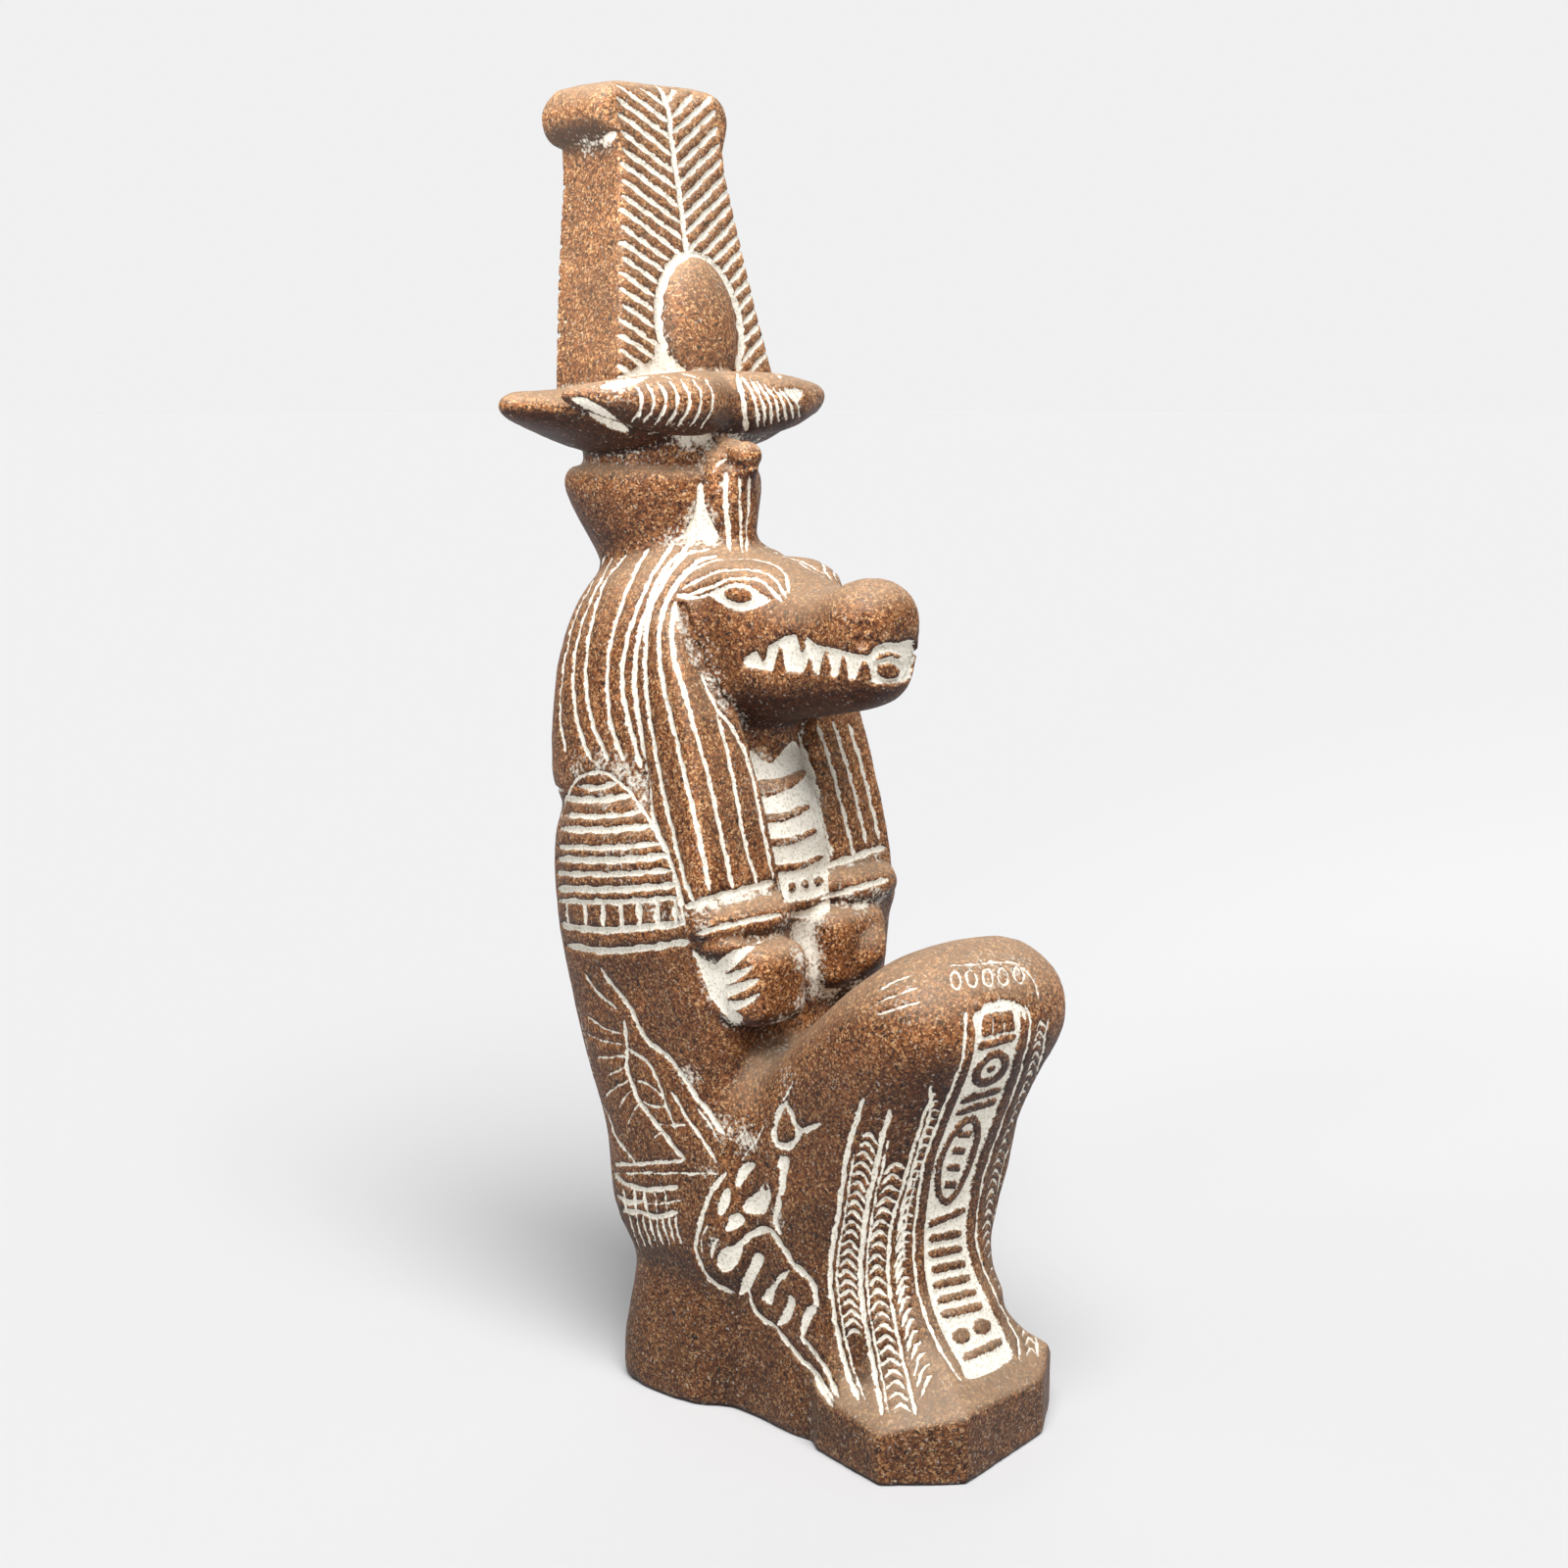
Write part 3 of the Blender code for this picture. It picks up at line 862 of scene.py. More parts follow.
    def refine(self) -> None:
        """Make the skin finer where it is about to be cut."""
        tree = KDTree(len(self.marks))
        for index, (place, _) in enumerate(self.marks):
            tree.insert(place, index)
        tree.balance()
        self.tree = tree
        places, _ = read_skin(self.skin)
        near = np.array([tree.find(place)[2] for place in places]) < self.REFINED * MM
        faces = self.skin.data.polygons
        corners = np.empty(len(self.skin.data.loops), dtype=np.int32)
        self.skin.data.loops.foreach_get("vertex_index", corners)
        starts = np.empty(len(faces), dtype=np.int32)
        faces.foreach_get("loop_start", starts)
        chosen = np.maximum.reduceat(near[corners], starts)
        select_only(self.skin)
        bpy.ops.object.mode_set(mode="EDIT")
        bpy.ops.mesh.select_mode(type="FACE")
        bpy.ops.mesh.select_all(action="DESELECT")
        bpy.ops.object.mode_set(mode="OBJECT")
        faces.foreach_set("select", chosen)
        bpy.ops.object.mode_set(mode="EDIT")
        bpy.ops.mesh.subdivide(number_cuts=1)
        bpy.ops.object.mode_set(mode="OBJECT")

    def cut(self) -> None:
        """Sink the cuts and keep how deep inside a cut each point lies, in millimetres."""
        places, normals = read_skin(self.skin)
        groove = np.full(len(places), -self.REACH)
        sunk = np.zeros(len(places))
        for number, place in enumerate(places):
            for _, index, distance in self.tree.find_n(place, 3):
                half, depth, chalk = self.marks[index][1]
                inward = half - distance / MM
                if inward > -self.REACH:
                    share = min(1.0, max(0.0, (inward + self.SLOPE_START) / self.SLOPE_WIDTH))
                    sunk[number] = max(sunk[number], depth * share * share * (3.0 - 2.0 * share))
                    if chalk > 0.0:
                        groove[number] = max(groove[number], inward)
        write_skin(self.skin, places - normals * (sunk * MM)[:, None])
        keep_value(self.skin, "groove", groove)

    def settle_dust(self) -> None:
        """Keep how much chalk dust lies at each point."""
        places, _ = read_skin(self.skin)
        amount = np.zeros(len(places))
        for place, radius, strength in self.dusting:
            distance = np.linalg.norm(places - np.array(place), axis=1) / (radius * MM)
            amount = np.maximum(amount, strength * np.clip(1.0 - distance, 0.0, 1.0))
        keep_value(self.skin, "dust", amount)


def keep_value(skin: bpy.types.Object, name: str, values: np.ndarray) -> None:
    """Store one number for each point of a skin, for its material to read."""
    layer = skin.data.attributes.get(name) or skin.data.attributes.new(name, "FLOAT", "POINT")
    layer.data.foreach_set("value", values)


@dataclass(frozen=True)
class CrownCarving:
    """The feathers' shafts and barbs, the ring round the disc and the ridges of the horns."""

    disc_middle: float = DISC_MIDDLE
    ring: Point = (10.7, 13.2)
    ring_shift: float = 1.6
    barb_pitch: float = 3.1
    right_slope: float = 0.56
    left_slope: float = 0.68

    def feathers(self, tool: Engraver, sheet: Sheet, ringed: bool) -> None:
        """One shaft down the middle with barbs that rise to both sides.

        Args:
            tool: The engraver.
            sheet: The sheet the feathers are drawn on.
            ringed: Whether the disc's ring interrupts them.
        """
        shaft_foot = self.disc_middle + self.ring[1] if ringed else 190
        tool.line(sheet, [(0, shaft_foot), (0.25, 220), (-0.15, 231), (0, 244)], Stroke.BOLD)
        for side, slope in ((-1, self.right_slope), (1, self.left_slope)):
            for index in range(22):
                root = 181 + self.barb_pitch * index + (0.9 if side > 0 else 0)
                points = []
                for step in range(25):
                    out = 0.5 + 19 * step / 24
                    up = root + slope * out + 0.12 * math.sin(index * 2.3 + out * 0.3)
                    reach = (((side * out - self.ring_shift) / (self.ring[0] + 0.3)) ** 2
                             + ((up - self.disc_middle) / (self.ring[1] + 0.3)) ** 2)
                    edge = 20.4 - 0.17 * (up - 188)
                    if (not ringed or reach > 1) and 189.5 < up < 243.4 and out < max(edge, 12.8):
                        points.append((side * out, up))
                if len(points) > 3:
                    tool.line(sheet, points[:: max(1, len(points) // 4)] + [points[-1]], Stroke.LINE)

    def disc(self, tool: Engraver) -> None:
        """The white ring round the disc, widest at its lower left."""
        points = []
        for index in range(15):
            angle = math.radians(-38 + 256 * index / 14)
            points.append((
                self.ring_shift + self.ring[0] * math.cos(angle),
                self.disc_middle + self.ring[1] * math.sin(angle),
            ))
        tool.line(FRONT, points, Stroke.RING)
        tool.pool(VIEW, [(-34, 73), (-31, 72.6), (-27.5, 73.4), (-24.5, 74.6), (-20.5, 75.6),
                         (-17.6, 75.4), (-19.6, 77.2), (-21.6, 79.6), (-23.4, 81), (-24, 78),
                         (-27, 76.6), (-29.4, 75.4)])
        tool.pool(VIEW, [(-33.8, 118), (-31.6, 118.2), (-30.6, 119.6), (-32.4, 119.6)])

    def horns(self, tool: Engraver) -> None:
        """Curved ridges round the ram horns and the white hollows under their tips."""
        tool.rows(VIEW, [(-27.4, 73.4), (-26.2, 71.4), (-26.4, 68.6), (-28, 66.4)],
                  [(-14.6, 74.6), (-13, 71.8), (-13.3, 68.4), (-15.2, 65.2)], 7, Stroke.FINE)
        tool.line(VIEW, [(-8.6, 75.4), (-7.6, 71.2), (-7.1, 67.6), (-7, 64.9)], Stroke.LINE)
        tool.rows(VIEW, [(-7.6, 74.8), (-5.6, 71.4), (-4.9, 68.4), (-4.8, 65.4)],
                  [(0.6, 72), (2.2, 70.4), (2.8, 68.8), (3, 67.4)], 7, Stroke.FINE)
        tool.pool(VIEW, [(-39, 70.6), (-37.2, 71), (-34.2, 69.6), (-31.6, 67.8), (-29.4, 65.9),
                         (-28.4, 64.4), (-31, 64.9), (-34, 66.4), (-37, 68.8)])
        tool.pool(VIEW, [(0, 72.4), (1.6, 72.9), (3.4, 72.2), (3, 70.4), (1.6, 70.6)])

    def engrave(self, tool: Engraver) -> None:
        """Cut everything on the crown."""
        self.feathers(tool, FRONT, True)
        self.feathers(tool, BACK, False)
        self.disc(tool)
        self.horns(tool)
        tool.dust(VIEW, [(-22.5, 77, 4, 0.9), (-31, 73, 4, 0.7), (-18, 63, 3.4, 0.9),
                         (-15, 63.6, 3, 1), (-9, 63.4, 2.6, 0.7), (-4.6, 63.4, 2.4, 0.6),
                         (-36, 117.4, 2.6, 0.7), (-33, 118, 2.4, 0.9)])


@dataclass(frozen=True)
class HeadCarving:
    """The wig's flowing stripes, the brows, the eye and the toothed mouth."""

    stripes: tuple[tuple[Point, ...], ...] = (
        ((-33, 41.9), (-35.6, 36.4), (-38.3, 31), (-40, 24.6), (-41, 18.4), (-41.2, 12), (-40.2, 6)),
        ((-31.6, 41.7), (-34.2, 36.6), (-36.8, 30.9), (-38.4, 24.4), (-38.8, 18.4), (-38, 11.2),
         (-35.6, 4.4)),
        ((-29.1, 42), (-32.8, 37.5), (-34.9, 31.6), (-36.3, 24.6), (-36.4, 17.5), (-35.2, 11),
         (-32.4, 4.4)),
        ((-25, 43.4), (-27.9, 38), (-30.4, 31.6), (-32.2, 24.8), (-32.6, 18.4), (-31.9, 11), (-29.6, 4.4)),
        ((-20.2, 44.4), (-24.2, 38.5), (-27.2, 31.8), (-29.2, 25.2), (-29.8, 18.4), (-28.6, 11.4),
         (-26.3, 3)),
        ((-17.4, 44), (-22, 39.4), (-25.2, 32.6), (-27.1, 25.2), (-27.5, 17.8), (-26.6, 11), (-25, 2),
         (-24, -6.4), (-21.4, -13), (-18.6, -22)),
        ((-13.8, 43.3), (-18.6, 41.8), (-22.6, 36.4), (-24.9, 31), (-25.6, 22), (-25.1, 14.4), (-24, 7.6),
         (-22.4, -1), (-20.4, -9.4), (-18.4, -17.4), (-16.6, -22)),
        ((-12.4, 42), (-16.4, 40.6), (-20.4, 35.8), (-22.6, 30.4), (-23, 24.4), (-22, 17), (-20.2, 9.4),
         (-18.2, 1), (-16.2, -7), (-14.6, -14.4), (-13.6, -19.4)),
        ((-20, 33.4), (-20.6, 27.8), (-20, 22.4), (-18.2, 16.8), (-16.4, 10.4), (-14.2, 3), (-12.6, -4),
         (-11.1, -11), (-9.4, -18.8)),
        ((-12.2, 12.6), (-10.8, 8), (-9.4, 1.6), (-8.2, -4.6), (-7, -11), (-4.9, -18)),
        ((-15, 20.2), (-12.8, 14.8), (-9.6, 10.6), (-7.2, 6), (-5.4, 0), (-3.9, -7.6), (-1.8, -17.4)),
    )
    far_strand: tuple[tuple[Point, ...], ...] = (
        ((2.6, 9.4), (4, 5), (6, -1), (7.6, -8), (8.8, -13)),
        ((6.2, 11), (8.2, 5.4), (10.4, -2.6), (12.2, -10), (13, -13.4)),
        ((9.2, 11.4), (11.2, 5), (13.2, -2), (15.2, -10.6)),
        ((12, 11), (14.2, 4), (16, -3), (17.6, -10)),
    )

    def wig(self, tool: Engraver) -> None:
        """Stripes from the drum down over the strands, and plainer ones on the back."""
        for stripe in self.stripes:
            tool.line(VIEW, stripe, Stroke.LINE, mirror=stripe[-1][1] > 0)
        for stripe in self.stripes:
            upper = [point for point in stripe if point[1] > 8]
            if stripe[-1][1] <= 0 and len(upper) > 3:
                tool.line(VIEW, upper, Stroke.LINE, mirror=True)
        for stripe in self.far_strand:
            tool.line(VIEW, stripe, Stroke.LINE)
        for index in range(-7, 8):
            across = 2.75 * index
            tool.line(BACK, [(0.55 * across, 157), (0.86 * across, 150), (across, 138),
                             (1.02 * across, 124), (across, 113.4)], Stroke.LINE)
        tool.line(BACK, [(-25, 112.6), (-12, 111.4), (0, 111), (12, 111.4), (25, 112.6)], Stroke.LINE)

    def brows(self, tool: Engraver) -> None:
        """Nested arcs over the eye, and the almond with its iris left standing."""
        arcs = (
            ((-19.4, 37), (-16.4, 39.6), (-12.4, 41.1), (-6, 41.3), (-2, 40.4), (0.4, 38.4), (0.9, 35.2)),
            ((-18.6, 35.9), (-15, 37.9), (-11, 39.3), (-6, 39.4), (-3, 38.6), (-1, 36.8), (0.4, 34.4)),
            ((-19.6, 34.7), (-16.8, 35), (-13, 36.4), (-10, 37.7), (-6, 37.8), (-3.4, 36.8), (-0.2, 33.4)),
        )
        for arc in arcs:
            tool.line(VIEW, arc, Stroke.FINE, mirror=True)
        almond = [(-13.8, 34.9), (-11.6, 36.2), (-9, 37), (-6.6, 36.6), (-4.6, 35.2), (-2.4, 33.8),
                  (-5, 32.5), (-7.5, 31.8), (-9.6, 32), (-11.8, 33.4)]
        tool.pool(VIEW, almond, [oval((-8.4, 34.7), (2.7, 1.5), -8)], mirror=True)
        tool.line(VIEW, [(-19.6, 34.5), (-16.6, 34.2), (-13.8, 34.9)], Stroke.FINE, mirror=True)
        tool.line(VIEW, [(-4, 42.4), (0, 41.8), (4, 40.6), (7.4, 38.6)], Stroke.FINE)

    def cheek(self, tool: Engraver) -> None:
        """The deep crease between the cheek and the wig, with chalk left in it."""
        crease = [(-18.8, 33), (-17.6, 29), (-16.2, 25), (-14.6, 21), (-12.4, 17), (-10, 13.4)]
        tool.line(VIEW, crease, Stroke.CREASE, mirror=True)
        tool.dust(VIEW, [(-19.4, 31, 2.2, 1), (-18.6, 28.6, 2.2, 1), (-17.6, 25.6, 2.2, 0.9),
                         (-16.4, 22.6, 2.2, 0.8), (-13.8, 19, 2.6, 0.55), (-11.4, 15, 2.6, 0.5)],
                         mirror=True)

    def mouth(self, tool: Engraver) -> None:
        """A long white mouth with brown teeth, a curl at the lips' end and a dark nostril."""
        outline = [(-7.8, 22.4), (-6, 24), (-3, 25.2), (0, 27), (3, 27.6), (6, 25.5), (9, 24.9),
                   (13, 23.8), (15.6, 23.6), (17, 25.2), (19.4, 26), (22, 25.6), (23.8, 24.6),
                   (23.4, 20.8), (21.6, 18.9), (18, 18.3), (14, 19), (9, 19.6), (4, 20.2),
                   (0, 20.6), (-4, 21), (-7, 21.6)]
        teeth = [
            [(-5.2, 25.4), (-3, 25.8), (-3.3, 23.4), (-3.9, 22.4), (-4.6, 23.4)],
            [(-2.2, 20), (-1.7, 22.6), (-1, 25.2), (-0.5, 25), (-0.1, 22.6), (0, 20)],
            [(2.2, 28.2), (2.6, 25.6), (3, 24), (3.5, 24.2), (3.8, 25.8), (4.2, 28)],
            [(3.4, 19.8), (3.9, 21.6), (4.5, 23.2), (5, 21.6), (5.4, 19.6)],
            [(6.4, 19.4), (6.7, 22.2), (7.3, 24.4), (7.8, 24.2), (8.2, 22), (8.4, 19.4)],
            [(9.9, 19.2), (10.2, 21.8), (10.6, 23.6), (11.1, 23.4), (11.5, 21.6), (11.8, 19.2)],
            [(13.3, 18.8), (13.7, 21.2), (14.3, 22.6), (15.2, 22.4), (15.9, 21.2), (16, 18.8)],
            oval((19.4, 20.7), (2, 1.5), -8),
            [(16.7, 22.5), (17.8, 23.7), (19.6, 24.2), (21.6, 23.5), (22.2, 22.5), (21.4, 22.7),
             (19.8, 23.3),
             (18.2, 22.9)],
        ]
        tool.pool(VIEW, outline, teeth, Stroke.MOUTH, mirror=True)
        for centre, turn in (((14.3, 26), 20), ((14.6, 28.4), 0)):
            tool.line(VIEW, oval(centre, (0.25, 0.5), turn, 6), Stroke.CREASE, mirror=True, closed=True)

    def cobra(self, tool: Engraver) -> None:
        """Pairs of upright lines on the hood and the chalk beside it."""
        tool.line(VIEW, [(-10.6, 57.4), (-10.8, 53), (-10.4, 48), (-9.9, 43)], Stroke.LINE)
        tool.line(VIEW, [(-8.2, 56.6), (-8, 52), (-7.9, 47), (-7.7, 42.6)], Stroke.FINE)
        tool.line(VIEW, [(-6.4, 56.6), (-6.4, 52), (-6.7, 47), (-6.9, 42.6)], Stroke.FINE)
        tool.line(VIEW, [(-13.2, 57), (-12.4, 58.6), (-10.6, 59.6)], Stroke.FINE)
        tool.pool(VIEW, [(-15.9, 54.9), (-15, 54.8), (-14.5, 51), (-13.2, 48), (-12.2, 45.4), (-14.6, 44.8),
                         (-18, 45.6), (-17.6, 47.4), (-16.3, 50)])
        tool.dust(VIEW, [(-15.4, 49, 4.4, 1), (-17.4, 45.6, 3.6, 0.9), (-13.6, 45, 3, 0.9),
                         (-20.6, 45, 3, 0.6), (-11, 55, 2.4, 0.6), (-34.6, 56.6, 2.4, 0.35)])

    def engrave(self, tool: Engraver) -> None:
        """Cut everything on the head."""
        self.wig(tool)
        self.brows(tool)
        self.cheek(tool)
        self.mouth(tool)
        self.cobra(tool)


@dataclass(frozen=True)
class ChestCarving:
    """Pleated sleeves with a row of squares, the broad collar, the bands and the hands."""

    pleats: tuple[tuple[float, float, float], ...] = (
        (-38.2, -31, -0.4), (-40, -28.6, -2.6), (-40.8, -26.2, -5.6), (-41.2, -24.6, -8.1),
        (-41.8, -23, -11.4), (-42, -21.8, -13.7), (-42.2, -20.8, -16.3), (-42.2, -20.2, -19.1),
        (-42, -19.6, -21.4),
    )

    def sleeve(self, tool: Engraver) -> None:
        """The dome of the shoulder, its pleats, the row of squares and the two hem lines."""
        dome = [(-41.2, -7), (-39.8, -2), (-37.6, 1.2), (-33.6, 2.2), (-30.6, 0.6), (-28, -2),
                (-25.4, -5.6), (-23, -10), (-21, -14.4), (-19.6, -20), (-18.2, -26)]
        tool.line(VIEW, dome, Stroke.FINE, mirror=True)
        for index, (left, right, up) in enumerate(self.pleats):
            stroke = Stroke.BOLD if index % 2 else Stroke.LINE
            middle = (left + right) / 2
            tool.line(VIEW, [(left, up - 0.1), (middle, up - 0.3), (right, up + 0.5)], stroke, mirror=True)
        tool.line(VIEW, [(-41.6, -25.9), (-34, -26.9), (-26, -26.4), (-18.6, -25.6)], Stroke.BOLD,
                  mirror=True)
        for index in range(7):
            across = -40 + 3.3 * index
            tool.line(VIEW, [(across, -21.8 + 0.04 * index), (across + 0.15, -26)], Stroke.BOLD,
                      mirror=True)
        tool.line(VIEW, [(-40, -29.7), (-33, -30.7), (-26, -30.2), (-17.6, -29)], Stroke.BOLD, mirror=True)
        tool.dust(VIEW, [(-38, 3, 3.4, 0.7), (-34, 4, 3, 0.8), (-30, 3, 3.6, 0.9),
                         (-27.2, 0.4, 3, 0.9), (-26, -3, 2.4, 0.8), (-33, -2.6, 5, 0.45),
                         (-30, -13, 8, 0.38), (-24, -23, 4, 0.5), (-19.4, -24, 3, 0.8)], mirror=True)

    def collar(self, tool: Engraver) -> None:
        """White ground between the strands with brown bars left standing."""
        ground = [(-6.4, 6), (-2.4, 4), (2, 8), (4.4, 4), (6, -1), (7.4, -7), (8.4, -12.6),
                  (8.2, -19), (8, -23.6), (1.2, -24.6), (-0.6, -18.6), (-1.6, -14), (-2.8, -8), (-4.2, -2)]
        bars = []
        for index, (up, tall) in enumerate(((0.6, 2.6), (-5.6, 1.4), (-10.2, 1.2), (-15, 1.1), (-22, 1.5))):
            left = -5 + 1.2 * index
            bars.append([(left, up), (left + 4.4, up + 0.6), (left + 8.4, up + 2),
                         (left + 8.6, up + 2 - 0.6 * tall),
                         (left + 4.4, up + 0.4 - tall), (left + 0.2, up - tall)])
        for index in range(3):
            bars.append(oval((1.6 + 2.4 * index, -18.9 + 0.5 * index), (0.7, 0.9)))
        tool.pool(VIEW, ground, bars)
        tool.dust(VIEW, [(0, -3, 6, 0.5), (2, -10, 6, 0.5), (4, -17, 6, 0.5), (1.6, 5.4, 4, 0.7),
                         (-4, 4, 3, 0.8)])

    def bands(self, tool: Engraver) -> None:
        """The lines above and below each strand's roll, chalky on their upper side."""
        tool.line(VIEW, [(-18, -22.6), (-13, -21), (-7, -19.4), (-1.6, -18)], Stroke.BOLD)
        tool.line(VIEW, [(-16, -27.6), (-11, -26.2), (-5, -24.8), (-0.6, -24)], Stroke.LINE)
        tool.line(VIEW, [(8, -15), (12, -13.8), (16, -12.4), (18.8, -11.6)], Stroke.BOLD)
        tool.line(VIEW, [(7, -21), (12, -19.6), (16, -18.4), (19, -17.6)], Stroke.BOLD)
        tool.dust(VIEW, [(-15.6, -22.6, 2, 1.2), (-13.2, -22, 2, 1.2), (-10.8, -21.4, 2, 1.2),
                         (-8.4, -20.8, 2, 1.2), (-6, -20.2, 2, 1.1), (-3.6, -19.6, 2, 1),
                         (-15, -26, 2.6, 0.7), (-8, -25.6, 2.6, 0.5), (12, -20.4, 3.4, 0.6),
                         (17, -19.6, 3.2, 0.7), (12, -14.6, 2.4, 0.5), (17, -13, 2.4, 0.5)])

    def hands(self, tool: Engraver) -> None:
        """White wedges between the fingers of the right hand, on a white patch."""
        patch = [(-17, -30.4), (-15.8, -33), (-14.6, -36.6), (-13, -40), (-10.4, -43.2), (-8.8, -44.6),
                 (-7.6, -42.8), (-9.6, -41.4), (-10.8, -38.6), (-10.6, -35.6), (-11.8, -33.6),
                 (-14.4, -32.6)]
        tool.pool(VIEW, patch)
        wedges = (
            [(-13, -33.8), (-9.4, -30.8), (-3.2, -28.4), (-6.6, -31), (-10.4, -34.4)],
            [(-11.6, -35.6), (-8.4, -34.2), (-5.4, -33.2), (-8, -35.6), (-10.8, -36.8)],
            [(-11.2, -37.6), (-7.6, -36.4), (-4.4, -35.8), (-7, -37.8), (-10.8, -39.2)],
            [(-10.4, -40), (-7.4, -39.6), (-4.4, -38.6), (-6.4, -40.4), (-9.6, -41.8)],
        )
        for wedge in wedges:
            tool.pool(VIEW, wedge)
        tool.dust(VIEW, [(2.4, -27.6, 3.6, 1.1), (4.6, -27, 3.4, 1.1), (5.4, -31, 3.4, 1.1), (3, -32, 3.2,
            1),
                         (5.6, -37.4, 3.2, 1), (-14, -34, 3.4, 0.8), (-12.6, -38, 3.6, 0.9), (-9.6, -43.4,
                             3.4, 0.9),
                         (-5, -44.6, 3.6, 0.9), (-0.6, -43.4, 3.6, 0.8), (3.6, -40, 3.6, 0.9),
                         (5, -35, 3.4, 0.9), (4, -30, 3.8, 0.9), (6, -25, 3.4, 0.9),
                         (0, -25.4, 3, 0.6), (8.6, -38, 3.8, 0.8), (13, -37, 3.4, 0.6), (3.6, -46, 6, 0.35),
                         (-1, -49, 5, 0.35), (14, -22.4, 3.4, 0.7), (18, -21, 3, 0.7)])

    def engrave(self, tool: Engraver) -> None:
        """Cut everything on the chest."""
        self.sleeve(tool)
        self.collar(tool)
        self.bands(tool)
        self.hands(tool)


